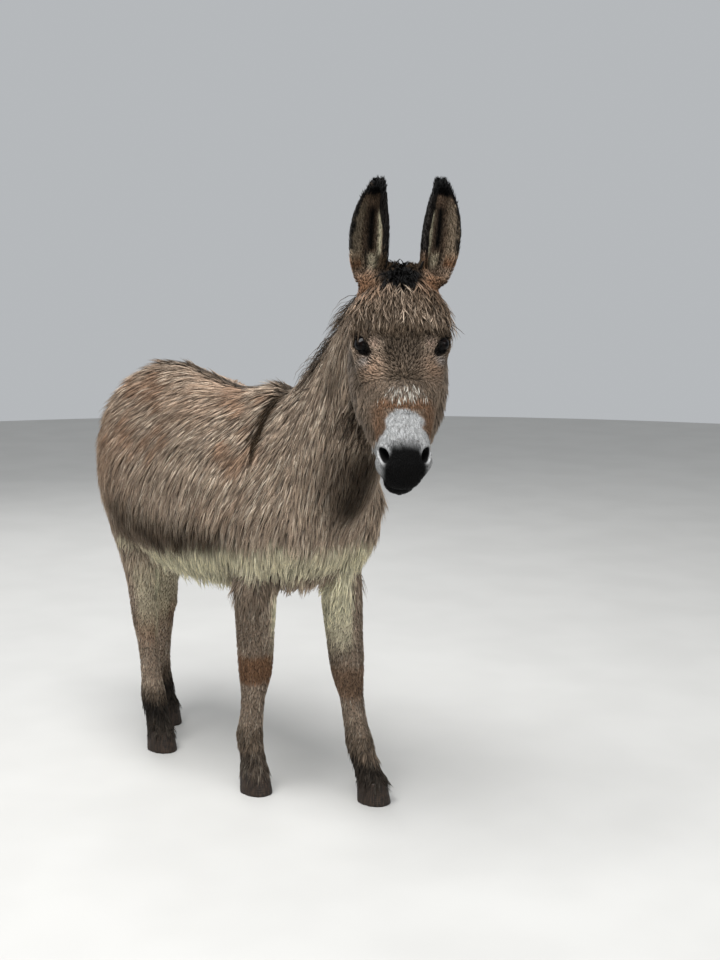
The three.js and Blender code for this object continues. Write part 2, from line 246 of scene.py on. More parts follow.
def joinedNodes(names, swell):  # each node swollen a little, so that neighbours meet
    gathered = bmesh.new()
    for name in names:
        one = bmesh.new()
        one.from_mesh(nodes[name].data)
        bmesh.ops.remove_doubles(one, verts=one.verts, dist=1e-5)
        bmesh.ops.recalc_face_normals(one, faces=one.faces)
        for vert in one.verts:
            vert.co += vert.normal * swell
        passed = bpy.data.meshes.new("passed")
        one.to_mesh(passed)
        one.free()
        gathered.from_mesh(passed)
        bpy.data.meshes.remove(passed)
    mesh = bpy.data.meshes.new("gathered")
    gathered.to_mesh(mesh)
    gathered.free()
    return mesh


def numbers(items, name, width=1, kind=np.float32):
    found = np.empty(len(items) * width, kind)
    items.foreach_get(name, found)
    return found.reshape(-1, width) if width > 1 else found


def placesOf(mesh):
    return numbers(mesh.vertices, "co", 3).astype(float)


def normalsOf(mesh):
    mesh.update()
    return numbers(mesh.vertex_normals, "vector", 3).astype(float)


def setPlaces(mesh, places):
    mesh.vertices.foreach_set("co", places.astype(np.float32).ravel())
    mesh.update()


def voxelWrap(mesh, voxel):
    rough = bpy.data.objects.new("rough", mesh)
    bpy.context.scene.collection.objects.link(rough)
    wrap = rough.modifiers.new("wrap", "REMESH")
    wrap.mode = "VOXEL"
    wrap.voxel_size = voxel
    done = bpy.data.meshes.new_from_object(rough.evaluated_get(bpy.context.evaluated_depsgraph_get()))
    bpy.data.objects.remove(rough)
    return done


def keepLargest(mesh):  # drops closed bubbles left inside
    links = [[] for _ in mesh.vertices]
    for a, b in numbers(mesh.edges, "vertices", 2, np.int32):
        links[a].append(b)
        links[b].append(a)
    start = int(np.argmax(placesOf(mesh)[:, 1]))
    seen = np.zeros(len(links), bool)
    seen[start] = True
    waiting = [start]
    while waiting:
        for other in links[waiting.pop()]:
            if not seen[other]:
                seen[other] = True
                waiting.append(other)
    whole = bmesh.new()
    whole.from_mesh(mesh)
    whole.verts.ensure_lookup_table()
    extra = [whole.verts[i] for i in np.flatnonzero(~seen)]
    bmesh.ops.delete(whole, geom=extra, context="VERTS")
    whole.to_mesh(mesh)
    whole.free()
    return len(extra)


def relaxed(values, ends, strength, rounds):  # each vertex's value drawn towards its neighbours'
    a, b = ends
    count = len(values)
    degree = np.bincount(a, minlength=count) + np.bincount(b, minlength=count)
    values = values.copy()
    for _ in range(rounds):
        total = np.empty_like(values)
        for axis in range(3):
            total[:, axis] = np.bincount(a, values[b, axis], count) + np.bincount(b, values[a, axis], count)
        values += 0.5 * strength[:, None] * (total / degree[:, None] - values)
    return values


def relax(mesh, strength, rounds, keep=2):  # smooths facets away, then gives the bulk back
    places = placesOf(mesh)
    ends = numbers(mesh.edges, "vertices", 2, np.int32).T
    soft = relaxed(places, ends, strength, rounds)
    for _ in range(keep):
        soft += relaxed(places - soft, ends, strength, rounds)
    setPlaces(mesh, soft)


def thinned(mesh, share, ratio):  # fewer triangles where share is high
    thing = bpy.data.objects.new("thinning", mesh)
    bpy.context.scene.collection.objects.link(thing)
    group = thing.vertex_groups.new(name="thin")
    for index in np.flatnonzero(share > 0.5):
        group.add([int(index)], 1.0, "REPLACE")
    press = thing.modifiers.new("press", "DECIMATE")
    press.ratio = ratio
    press.vertex_group = "thin"
    done = bpy.data.meshes.new_from_object(thing.evaluated_get(bpy.context.evaluated_depsgraph_get()))
    bpy.data.objects.remove(thing)
    return done


def refine(mesh, wanted):  # splits every edge between wanted vertices in two
    fine = bmesh.new()
    fine.from_mesh(mesh)
    chosen = [edge for edge in fine.edges if wanted[edge.verts[0].index] and wanted[edge.verts[1].index]]
    bmesh.ops.subdivide_edges(fine, edges=chosen, cuts=1, use_grid_fill=True)
    fine.to_mesh(mesh)
    fine.free()


# by region: depth of the coat, length and width of a lock, how far it stands off in degrees, room for each
coat = {
    "trunk": {"depth": 0.012, "long": 0.066, "wide": 0.0032, "lift": 6, "gap": 0.0058},
    "belly": {"depth": 0.016, "long": 0.066, "wide": 0.0036, "lift": 12, "gap": 0.0058},
    "neck": {"depth": 0.011, "long": 0.060, "wide": 0.0032, "lift": 7, "gap": 0.0053},
    "crest": {"depth": 0.018, "long": 0.052, "wide": 0.0036, "lift": 20, "gap": 0.0048},
    "thigh": {"depth": 0.010, "long": 0.052, "wide": 0.0031, "lift": 6, "gap": 0.0055},
    "leg": {"depth": 0.0028, "long": 0.014, "wide": 0.0020, "lift": 5, "gap": 0.0041},
    "fetlock": {"depth": 0.0038, "long": 0.020, "wide": 0.0022, "lift": 9, "gap": 0.0041},
    "forehead": {"depth": 0.009, "long": 0.026, "wide": 0.0028, "lift": 10, "gap": 0.0042},
    "brow": {"depth": 0.003, "long": 0.008, "wide": 0.0018, "lift": 12, "gap": 0.0024},
    "face": {"depth": 0.0030, "long": 0.012, "wide": 0.0018, "lift": 10, "gap": 0.0026},
    "muzzle": {"depth": 0.0010, "long": 0.0045, "wide": 0.0010, "lift": 12, "gap": 0.0028},
    "cheek": {"depth": 0.0060, "long": 0.027, "wide": 0.0024, "lift": 8, "gap": 0.0036},
    "ear": {"depth": 0.0015, "long": 0.010, "wide": 0.0016, "lift": 8, "gap": 0.0029},
    "earRim": {"depth": 0.0015, "long": 0.015, "wide": 0.0017, "lift": 42, "gap": 0.0022},
    "earFoot": {"depth": 0.0040, "long": 0.014, "wide": 0.0021, "lift": 6, "gap": 0.0032},
    "tail": {"depth": 0.010, "long": 0.075, "wide": 0.0040, "lift": 8, "gap": 0.0050},
    "hoof": {"depth": 0.0060, "long": 0.010, "wide": 0.0030, "lift": 5, "gap": 0.0300},
}


def byRegion(zone, what):
    value = {region: look[what] for region, look in coat.items()}
    body = blend(value["trunk"], value["belly"], zone.belly)
    body = blend(body, value["neck"], smooth(0.42, 0.52, zone.x))
    body = blend(body, value["crest"], zone.crest)
    body = blend(body, value["thigh"], 1 - smooth(0.55, 0.70, zone.z))
    body = blend(body, value["leg"], 1 - smooth(0.47, 0.60, zone.z))
    body = blend(body, value["fetlock"], 1 - smooth(0.16, 0.2, zone.z))
    face = blend(value["cheek"], value["face"], smooth(-0.05, 0.0, zone.hz))
    face = blend(face, value["muzzle"], zone.muzzle)
    face = blend(face, value["forehead"], 1 - smooth(0.125, 0.155, zone.hx))
    face = blend(face, value["brow"], zone.brow)
    body = blend(body, face, zone.head)
    body = blend(body, value["tail"], zone.tail)
    body = blend(body, value["earFoot"], zone.earFoot)
    ear = blend(value["ear"], value["earRim"], zone.earRim)
    body = blend(body, ear, zone.ear)
    return blend(body, value["hoof"], zone.hoof * zone.leg)


def depthAt(points):  # how far the skin lies inside the coat's tips
    return byRegion(zones(points), "depth")


# eyelids, nostrils and lips, pressed into the skin
eyeLook = {
    "radius": 0.0200,
    "out": (0.22, 0.62, 0.755),  # the way the eye looks, in the head's axes
    "long": 0.0215,  # half the opening, corner to corner
    "wide": 0.0128,  # half the opening, across
    "upper": 0.78,  # how far the upper lid opens beside the lower
    "tilt": 36,  # the inner corner's turn towards the midline, in degrees
}


def eyeAxes(side):  # out of the eye, along its opening to the inner corner, across it to the upper lid
    out = unit(np.array(eyeLook["out"]) * [1, side, 1])
    tilt = math.radians(eyeLook["tilt"])
    along = np.array([math.cos(tilt), -side * math.sin(tilt), 0.0])
    along = unit(along - out * (along @ out))
    return np.array([out, along, np.cross(out, along) * side])


# distance outwards from the lids' edge over the ball, and the place along and across the eye
def lidPlace(points, side):
    way = unit(points - eyes[side])
    out, along, across = (way @ headAxes.T @ eyeAxes(side).T).T
    reach = np.arccos(np.clip(out, -1, 1)) * eyeLook["radius"]
    flat = reach / (np.hypot(along, across) + 1e-9)
    corner = 1 - 0.30 * smooth(0.0, 0.9, along)  # the inner corner is drawn out to a point
    wide = eyeLook["wide"] * corner * np.where(across > 0, eyeLook["upper"], 1)
    ring = np.hypot(along * flat / eyeLook["long"], across * flat / wide)
    edge = np.where(ring < 1, (ring - 1) * eyeLook["wide"], (1 - 1 / np.maximum(ring, 1e-3)) * reach)
    return np.where(out > -0.1, edge, 1.0), along, across


def lidEdge(points):  # the smaller of the two eyes' distances from the lids' edge
    near = [lidPlace(points, side)[0] for side in bothSides]
    far = [np.linalg.norm(points - eyes[side], axis=1) > 0.06 for side in bothSides]
    return np.minimum(*(np.where(gone, 1.0, gap) for gap, gone in zip(near, far)))


patchLook = {
    "ahead": 0.006,  # how far its middle lies towards the inner corner
    "long": 0.0275,  # half its length
    "upper": 0.0135,  # how far it reaches above the eye's middle
    "lower": 0.0175,
}


def eyePatch(points):  # the black skin round the lids, drawn out to the inner corner
    patch = np.zeros(len(points))
    for side in bothSides:
        edge, along, across = lidPlace(points, side)
        near = np.linalg.norm(points - eyes[side], axis=1)
        half = np.where(across > 0, patchLook["upper"], patchLook["lower"])
        ring = np.hypot((along * near - patchLook["ahead"]) / patchLook["long"], across * near / half)
        patch = np.maximum(patch, (1 - smooth(0.92, 1.12, ring)) * (edge < 0.5) * (near < 0.04))
    return patch


def sculptLids(points):
    radius = eyeLook["radius"]
    for side in bothSides:
        edge, _, across = lidPlace(points, side)
        way = unit(points - eyes[side])
        far = np.linalg.norm(points - eyes[side], axis=1)
        upper = smooth(-0.1, 0.35, across)
        lid = radius - 0.0045 + (0.0058 + 0.0012 * upper) * smooth(-0.0028, 0.0002, edge)
        lid += 0.0010 * spot(edge - 0.0025, 0.0016) * (0.6 + 0.8 * upper)
        lid -= 0.0024 * spot(edge - 0.0105, 0.0020) * upper - 0.0018 * spot(edge - 0.0150, 0.0035) * upper
        lid -= 0.0010 * spot(edge - 0.0075, 0.0022) * (1 - upper)
        held = 1 - smooth(0.006, 0.024, edge)
        near = (far < 0.075) & (edge < 0.5)
        points = np.where(near[:, None], eyes[side] + way * blend(far, lid, held)[:, None], points)
    return points


nostrilLook = {  # places and ways are the left one's, in the head's axes
    "place": (0.431, 0.0495, 0.014),
    "out": (0.12, 0.62, 0.74),
    "along": (0.034, -0.018, 0.012),
    "long": 0.0228,
    "wide": 0.0120,
    "deep": 0.021,
    "rim": 0.0030,
}


def nostrilOut(side):
    return unit(np.array(nostrilLook["out"]) * [1, side, 1])


def nostrilPlace(points, side):  # along the slit, across it, out of it
    place = toHead(points) - np.array(nostrilLook["place"]) * [1, side, 1]
    out = nostrilOut(side)
    along = np.array(nostrilLook["along"]) * [1, side, 1]
    along = unit(along - out * (along @ out))
    across = np.cross(out, along) * side
    return place @ along, place @ across, place @ out


def nostrilRing(points, side):
    along, across, out = nostrilPlace(points, side)
    curve = across - 0.004 * (along / 0.02) ** 2 + 0.002
    return np.hypot(along / nostrilLook["long"], curve / nostrilLook["wide"]), across, out


def sculptNose(points):
    for side in bothSides:
        ring, across, out = nostrilRing(points, side)
        near = np.abs(out) < 0.035
        inward = -(nostrilOut(side) @ headAxes)
        sink = nostrilLook["deep"] * (1 - smooth(0.25, 1.05, ring))
        swell = nostrilLook["rim"] * spot(ring - 1.3, 0.25) * (0.6 + 0.7 * smooth(-0.01, 0.01, across))
        points = points + inward * ((sink - swell) * near)[:, None]
    return points


lipLook = {
    "level": -0.046,  # where the lips meet, beside the line of the face
    "fall": 0.006,  # how much lower they meet at the corners
    "groove": 0.0065,  # its depth
    "height": 0.0036,
    "narrow": 0.10,  # share by which the lips draw in sideways
    "trim": 0.004,  # how far they sit to the right
}


def lipLine(head):  # height above the line between the lips
    return head[:, 2] - lipLook["level"] + lipLook["fall"] * (head[:, 1] / 0.04) ** 2


def narrowLips(points):  # the muzzle tapers below the nostrils
    head = toHead(points)
    share = smooth(0.440, 0.485, head[:, 0]) * (np.abs(head[:, 1:]).max(1) < 0.11) * (head[:, 0] < 0.6)
    return points - headLeft * (head[:, 1] * lipLook["narrow"] * share + lipLook["trim"] * share)[:, None]


def sculptLips(points, normals):
    head = toHead(points)
    height = lipLine(head)
    ahead = smooth(0.405, 0.44, head[:, 0]) * (np.abs(height) < 0.03)
    groove = lipLook["groove"] * spot(height, lipLook["height"])
    swell = 0.0022 * spot(height - 0.010, 0.006) + 0.0026 * spot(height + 0.011, 0.007)
    return points - normals * ((groove - swell) * ahead)[:, None]


def makeSkin():
    fleshNodes = [name for name in nodes if not name.startswith("eye")]
    mesh = voxelWrap(joinedNodes(fleshNodes, skinLook["swell"]), skinLook["voxel"])
    dropped = keepLargest(mesh)
    zone = zones(placesOf(mesh))
    strength = blend(skinLook["body"], skinLook["legs"], 1 - smooth(0.42, 0.62, zone.z))
    strength = blend(strength, skinLook["head"], zone.head)
    strength = blend(strength, skinLook["legs"], zone.tail)
    strength = blend(strength, skinLook["ears"], zone.ear)
    strength = blend(strength, skinLook["hooves"], zone.hoof)
    relax(mesh, strength, skinLook["rounds"])
    places, normals = placesOf(mesh), normalsOf(mesh)
    setPlaces(mesh, places - normals * depthAt(places)[:, None])
    mesh = thinned(mesh, 1 - np.maximum(zone.head, zone.ear), skinLook["thin"])
    zone = zones(placesOf(mesh))
    refine(mesh, (zone.head * (zone.hx > 0.1) > 0.5) | (zone.ear > 0.5))
    zone = zones(placesOf(mesh))
    relax(mesh, 0.5 * zone.head * (1 - zone.ear), 6)
    places = placesOf(mesh)
    fine = np.zeros(len(places), bool)
    for side in bothSides:
        fine |= np.linalg.norm(places - eyes[side], axis=1) < skinLook["near"]
        ring, _, out = nostrilRing(places, side)
        fine |= (ring < 2.4) & (np.abs(out) < 0.03)
    head = toHead(places)
    fine |= (np.abs(lipLine(head)) < 0.012) & (head[:, 0] > 0.41)
    refine(mesh, fine)
    points = sculptLids(placesOf(mesh))
    points = narrowLips(sculptNose(points))
    setPlaces(mesh, points)
    setPlaces(mesh, sculptLips(points, normalsOf(mesh)))
    mesh.polygons.foreach_set("use_smooth", np.ones(len(mesh.polygons), bool))
    skin = bpy.data.objects.new("skin", mesh)
    bpy.context.scene.collection.objects.link(skin)
    count = sum(face.loop_total - 2 for face in mesh.polygons)
    print(f"skin: {len(mesh.vertices)} vertices, {count} triangles, {dropped} inside dropped")
    return skin


def unwrap(thing):  # a flat layout of the skin's own shape
    bpy.ops.object.select_all(action="DESELECT")
    thing.select_set(True)
    bpy.context.view_layer.objects.active = thing
    thing.data.uv_layers.new(name="OFBake")
    bpy.ops.object.mode_set(mode="EDIT")
    bpy.ops.mesh.select_all(action="SELECT")
    bpy.ops.uv.smart_project(angle_limit=1.15, island_margin=0.003, scale_to_bounds=True)
    bpy.ops.object.mode_set(mode="OBJECT")


skin = makeSkin()
unwrap(skin)
print("unwrapped")

# markings: shares from 0 to 1 of each colour of hair, with painted shade in some of them, the same on the
# skin and on every lock
crossLook = {"ahead": 0.272, "slant": 0.10, "top": 1.06}  # where the shoulder's dark line runs


def crossGap(x, z):  # how far from the shoulder's dark line
    return np.abs(x - crossLook["ahead"] - crossLook["slant"] * np.clip(crossLook["top"] - z, 0, 1))


def bodyMarks(zone, normals, patch, broad, fleck):
    x, y, z, leg = zone.x, zone.y, zone.z, zone.leg
    wavy = z + 0.010 * patch + 0.006 * fleck
    outward = np.sign(y) * normals[:, 1]
    front = smooth(-0.3, 0.4, normals[:, 0])
    cross = spot(crossGap(x, z), 0.011 + 0.012 * smooth(0.9, 1.07, z)) * smooth(0.88, 0.97, z + 0.01 * fleck)
    backLine = spot(y, 0.016) * smooth(0.93, 0.97, z) * (x < 0.46)
    # painted shade: the lower flank is darkened where the barrel turns under, reaching higher towards the
    # rear
    rear = 1 - smooth(-0.32, -0.05, x)
    flankShadeTop = 0.735 + 0.045 * rear
    flank = between(-0.36, 0.24, 0.09, x) * smooth(0.590, 0.680, wavy)
    flank = flank * (1 - smooth(flankShadeTop - 0.06, flankShadeTop + 0.06, wavy))
    haunch = 0.7 * spot(np.hypot(x + 0.24, z - 0.70), 0.10) + 0.6 * spot(np.hypot(x + 0.40, z - 0.80), 0.06)
    croup = spot(np.hypot(x + 0.30, z - 1.15), 0.10)
    neckSide = smooth(0.42, 0.56, x) * smooth(0.72, 0.9, z)
    # painted shadow: the throat and chest front darkened, and partly blackened, as if in the shade of the
    # head and jaw
    throatShadow = smooth(0.44, 0.52, x) * spot(y + 0.02, 0.08) * between(0.66, 0.98, 0.05, z)
    throatShadow = throatShadow * smooth(-0.1, 0.5, normals[:, 0])
    forearm = between(0.40, 0.60, 0.03, z) * smooth(0.14, 0.2, x) * smooth(-0.1, 0.4, outward)
    cannon = blend(0.30, 0.12, x < 0) + 0.14 * (x > 0) * (y > 0)
    knee = between(0.312, 0.390, 0.009, z + 0.004 * fleck + 0.040 * (y > 0)) * (x > 0.0)
    knee = knee * smooth(-0.8, -0.2, normals[:, 0])
    hock = spot(z - 0.36, 0.05) * (x < 0.0) * front
    dark = most(
        0.10 * smooth(-0.2, 1.0, patch + 0.6 * broad),
        1.25 * cross,
        0.95 * backLine,
        # painted shade on the lower flank
        (0.94 - 0.26 * rear + 0.15 * patch) * flank,
        0.42 * haunch * smooth(-0.9, 0.4, patch),
        0.25 * croup * smooth(-0.6, 0.6, fleck),
        (0.24 + 0.2 * patch) * neckSide,
        0.95 * throatShadow,
        0.9 * zone.crest,
        0.50 * forearm,
        (cannon + 0.12 * patch) * leg * between(0.14, 0.44, 0.05, z),
        0.65 * leg * between(0.10, 0.185, 0.02, z),
        0.55 * zone.tail,
        knee * blend(0.50, 0.30, y > 0),
    )

    creamEdge = blend(0.625, 0.690, smooth(-0.2, 0.38, x))
    limb = most(smooth(0.13, 0.19, x), 1 - smooth(-0.26, -0.19, x))
    inner = smooth(0.0, 0.45, -outward)
    cream = (1 - smooth(-0.018, 0.022, wavy - creamEdge)) * between(-0.36, 0.50, 0.03, x)
    cream = cream * (1 - limb * (1 - most(inner, 0.85 * smooth(0.585, 0.625, z))))
    cream = most(
        cream * smooth(0.38, 0.48, z + 0.02 * patch),
        0.6 * inner * between(0.34, 0.62, 0.05, z) * (x < -0.2),
        0.5 * between(0.38, 0.56, 0.05, z) * (x < -0.2) * smooth(0, 0.5, normals[:, 0]),
    )
    rust = most(
        0.48 * smooth(0.2, 1.1, patch + 0.7 * broad) * smooth(0.70, 0.95, z) * (1 - smooth(0.25, 0.36, x)),
        0.22 * spot(x + 0.03, 0.17) * smooth(0.95, 1.03, z),
        0.30 * spot(np.hypot(x + 0.36, z - 0.88), 0.16),
        knee * blend(0.90, 0.52, y > 0) + 0.4 * hock,
    )
    # the black share here is only the painted shadow under the head
    return dark, cream, rust, 0 * x, 0.35 * throatShadow


def headMarks(zone, patch, fleck):
    hx, hy, hz, lid, nostril = zone.hx, zone.hy, zone.hz, zone.lid, zone.nostril
    side = np.abs(hy)
    front = smooth(-0.02, 0.02, hz)
    high = 1 - smooth(0.205, 0.240, hx)
    bridge = between(0.165, 0.272, 0.016, hx) * (1 - smooth(0.032, 0.064, side)) * front
    inner = spot(np.hypot(hx - 0.176, side - 0.066), 0.013) * front
    nearMiddle = 1 - smooth(0.05, 0.075, side)
    band = between(0.306, 0.335, 0.010, hx) * nearMiddle * front
    dark = most(
        (0.76 + 0.16 * high) * bridge * (0.85 + 0.2 * patch),
        # painted shadow: a dark band on the face under the fringe's lower edge
        0.85 * between(0.130, 0.180, 0.010, hx + 0.006 * patch) * front,
        0.85 * (1 - smooth(0.03, 0.06, hx)) * (1 - smooth(0.05, 0.08, side)),
        0.45 * between(0.268, 0.40, 0.02, hx) * front,
        (0.50 + 0.25 * patch) * (1 - smooth(0.10, 0.15, hx)),
        (0.50 + 0.2 * patch) * between(0.15, 0.40, 0.02, hx) * (0.7 + 0.3 * smooth(0.07, 0.10, side)),
    )
    dark = most(
        dark * (1 - 0.65 * inner) * (1 - 0.25 * band),
        0.75 * (1 - smooth(0.005, 0.012, lid)),
        # painted shade in the crease above each upper lid
        0.85 * spot(lid - 0.0125, 0.0030) * smooth(0.0, 0.04, 0.19 - hx),
    )
    rust = most(
        0.8 * between(0.306, 0.332, 0.007, hx + 0.003 * fleck) * nearMiddle * front,
        0.70 * spot(whiteHalf(hx) + 0.013 - side, 0.018)
        * between(0.315, 0.405, 0.012, hx) * smooth(-0.05, 0, hz),
        0.40 * spot(np.hypot(hx - 0.235, side - 0.072), 0.034) * front,
        spot(np.hypot(hx - 0.03, side - 0.080), 0.045),
        0.50 * inner,
    )

    top = whiteLook["top"] + whiteLook["round"] * (side / whiteLook["half"]) ** 2
    white = smooth(-0.004, 0.005, whiteHalf(hx) + 0.003 * fleck - side)
    white = white * smooth(-0.005, 0.005, hx - top + 0.003 * fleck) * smooth(-0.09, -0.05, hz)
    speck = smooth(0.7, 1.5, ripple(zone.points, 0.007, 17)) * between(0.335, 0.41, 0.01, hx)
    wing = spot(nostril - 1.45, 0.22) * smooth(0.050, 0.058, side)
    pale = most(
        0.08 * between(0.279, 0.312, 0.010, hx + 0.004 * fleck) * (1 - smooth(0.030, 0.05, side)) * front,
        0.15 * inner,
        0.35 * spot(np.hypot(hx - 0.212, side - 0.088), 0.012),
        0.16 * (1 - smooth(-0.08, -0.03, hz)) * between(0.08, 0.38, 0.03, hx),
        white * (0.97 - 0.35 * speck),
        0.85 * wing,
        0.40 * smooth(0.044, 0.056, side) * between(0.43, 0.475, 0.01, hx),
    )

    reach = 0.036 + 0.015 * smooth(0.425, 0.458, hx)
    noseEdge = hx - 0.414 - 2.0 * side**2
    nose = smooth(-0.030, 0.014, noseEdge + 0.002 * fleck)
    nose = nose * (1 - 0.85 * smooth(reach - 0.008, reach + 0.008, side))
    chin = smooth(0.470, 0.486, hx) * (1 - 0.2 * smooth(0.040, 0.05, side))
    # painted sheen: a lighter line on the upper lip just above where the lips meet, taken off the black
    lipPaintedSheen = spot(lipLine(np.stack([hx, hy, hz], 1)) - 0.008, 0.003) * smooth(0.46, 0.48, hx)
    topknot = spot(hx + 0.002, 0.032) * smooth(0.064, 0.042, np.abs(hy - 0.006)) * smooth(-0.03, 0.0, hz)
    black = most(
        # painted shade: the nostrils' holes are blackened, besides the black nose and chin
        most(nose, chin, 1 - smooth(0.92, 1.12, nostril)) * (1 - 0.10 * lipPaintedSheen),
        1 - smooth(0.0022, 0.0045, lid + 0.0008 * fleck),
        0.95 * eyePatch(zone.points),
        0.98 * topknot,
        (0.22 + 0.24 * high) * bridge,
    )
    return dark, 0 * hx, rust, pale, black


def earMarks(points, fleck):
    dark, cream, rust, pale, black = np.zeros((5, len(points)))
    for side in bothSides:
        on, share, inside, _, across = earZone(points, side)
        medial = -side * across
        low = 1 - smooth(0.16, 0.36, share)
        outer = on * (1 - inside)
        dark += outer * (0.85 - 0.40 * low)
        rust += outer * (0.25 + 0.75 * low)
        reach = np.where(medial > 0, 0.74 - 0.34 * smooth(0.50, 0.76, share), 0.77)
        edge = smooth(reach - 0.06, reach + 0.06, np.abs(across) + 0.03 * fleck) * smooth(0.24, 0.36, share)
        black += on * np.maximum(0.96 * edge, smooth(0.84, 0.90, share + 0.02 * fleck))
        rust += on * low * 0.8 * (np.abs(across) > 0.5)
        dark += 0.60 * on * low * smooth(0.1, 0.4, medial)
        # the inside's dark hair, with painted shade making the right ear's inside darker than the left's
        dark += on * inside * ((0.60 if side > 0 else 0.80) - 0.20 * low)
        rust += 0.30 * on * inside
        # painted shade: black in the deep hollow inside the ear and in the slit low inside it
        hollow = spot(medial + 0.02, 0.30) * between(0.32, 0.76, 0.05, share)
        slit = spot(medial + 0.27, 0.10) * between(0.12, 0.36, 0.04, share)
        black += on * inside * np.maximum(hollow, 0.9 * slit)
        cream += 0.75 * on * inside * spot(medial - 0.52, 0.15) * between(0.30, 0.72, 0.05, share)
        cream += 0.12 * on * inside * smooth(-0.3, -0.6, medial) * between(0.25, 0.8, 0.08, share)
        cream += 0.50 * on * inside * spot(medial - 0.05, 0.28) * between(0.02, 0.29, 0.04, share)
    return dark, cream, rust, pale, black


def markings(points, normals):  # shares of dark, cream, rust and pale hair, and of black, with painted shade in some of them
    zone = zones(points)
    broad, patch = ripple(points, 0.30, 11), ripple(points, 0.11, 12)
    fleck = ripple(points, 0.030, 13)
    head, ear = zone.head, zone.ear
    head = head * (1 - ear)
    marks = np.stack(bodyMarks(zone, normals, patch, broad, fleck), 1) * ((1 - head) * (1 - ear))[:, None]
    marks += np.stack(headMarks(zone, patch, fleck), 1) * head[:, None]
    marks += np.stack(earMarks(points, fleck), 1)
    low = zone.z + 0.012 * patch - 0.030 * (zone.x < 0)
    foot = 0.92 - 0.14 * (zone.x > 0) * (zone.y < 0)
    foot = foot * (1 - smooth(0.092, 0.142, low)) * (1 - zone.tail)
    switch = 0.85 * zone.tail * (1 - smooth(0.62, 0.78, zone.z))
    marks[:, 4] = most(foot, switch, marks[:, 4])
    return np.clip(marks, 0, 1)


def setMarks(mesh, marks, lock=None):  # lock: how far along it, its chance and its tint
    mark = mesh.attributes.new("mark", "FLOAT_COLOR", "POINT")
    mark.data.foreach_set("color", marks[:, :4].astype(np.float32).ravel())
    if lock is None:
        lock = np.ones((len(marks), 3)) * [1, 0.5, 0.5]
    rest = np.column_stack([lock, marks[:, 4]])
    extra = mesh.attributes.new("lock", "FLOAT_COLOR", "POINT")
    extra.data.foreach_set("color", rest.astype(np.float32).ravel())


def paint(red, green, blue):  # a colour as the eye sees it, 0 to 255
    return tuple((part / 255) ** 2.2 for part in (red, green, blue))


class Value:  # a number, colour or direction that varies over a surface
    def __init__(self, tree, socket):
        self.tree, self.socket = tree, socket

    def node(self, kind, settings=None, inputs=None, output=0):
        made = self.tree.nodes.new(kind)
        for name, setting in (settings or {}).items():
            setattr(made, name, setting)
        for name, given in (inputs or {}).items():
            if isinstance(given, Value):
                self.tree.links.new(given.socket, made.inputs[name])
            else:
                made.inputs[name].default_value = given
        return Value(self.tree, made.outputs[output])

    def maths(self, operation, *given):
        return self.node("ShaderNodeMath", {"operation": operation}, dict(enumerate(given)))

    def __add__(self, other):
        return self.maths("ADD", self, other)

    def __sub__(self, other):
        return self.maths("SUBTRACT", self, other)

    def __rsub__(self, other):
        return self.maths("SUBTRACT", other, self)

    def __mul__(self, other):
        return self.maths("MULTIPLY", self, other)

    __radd__ = __add__
    __rmul__ = __mul__

    def over(self, low, high, bottom=0.0, top=1.0):  # smoothly from bottom to top between low and high
        inputs = {"Value": self, "From Min": low, "From Max": high, "To Min": bottom, "To Max": top}
        return self.node("ShaderNodeMapRange", {"interpolation_type": "SMOOTHSTEP"}, inputs)

    def mix(self, first, second):  # from the first colour to the second as this number goes from 0 to 1
        a, b = (colour if isinstance(colour, Value) else (*colour, 1) for colour in (first, second))
        return self.node("ShaderNodeMix", {"data_type": "RGBA"}, {0: self, 6: a, 7: b}, output=2)

    def scaled(self, amount):  # a colour or direction times a number
        return self.node("ShaderNodeVectorMath", {"operation": "SCALE"}, {0: self, "Scale": amount})


class Finish:  # one material with its surface shader
    def __init__(self, name, **fixed):
        self.material = bpy.data.materials.new(name)
        self.material.use_nodes = True
        self.tree = self.material.node_tree
        self.shader = self.tree.nodes["Principled BSDF"]
        for socket, amount in fixed.items():
            self.shader.inputs[socket.replace("_", " ")].default_value = amount
        self.place = Value(self.tree, None).node("ShaderNodeTexCoord", output="Object")

    def noise(self, scale, detail, stretch=(1, 1, 1)):
        place = self.place.node("ShaderNodeMapping", {}, {"Vector": self.place, "Scale": stretch})
        inputs = {"Vector": place, "Scale": scale, "Detail": detail}
        return place.node("ShaderNodeTexNoise", {}, inputs)

    def attribute(self, name, output):
        return self.place.node("ShaderNodeAttribute", {"attribute_name": name}, {}, output)

    def channels(self, name):
        colour = self.attribute(name, "Color")
        parts = [colour.node("ShaderNodeSeparateColor", {}, {0: colour}, place) for place in range(3)]
        return [*parts, self.attribute(name, "Alpha")]

    def bump(self, height, strength, distance):
        inputs = {"Height": height, "Strength": strength, "Distance": distance}
        self.link("Normal", height.node("ShaderNodeBump", {}, inputs))

    def link(self, socket, value):
        self.tree.links.new(value.socket, self.shader.inputs[socket])


coatColours = {
    "dun": paint(190, 168, 147),
    "dunTip": paint(236, 218, 196),
    "dark": paint(62, 49, 34),
    "cream": paint(240, 232, 199),
    "rust": paint(182, 126, 86),
    "pale": paint(197, 198, 198),
    "black": paint(9, 7, 6),
    "root": 0.18,  # painted shade: how bright a lock's root is beside its tip, as if shaded by the locks over it
}


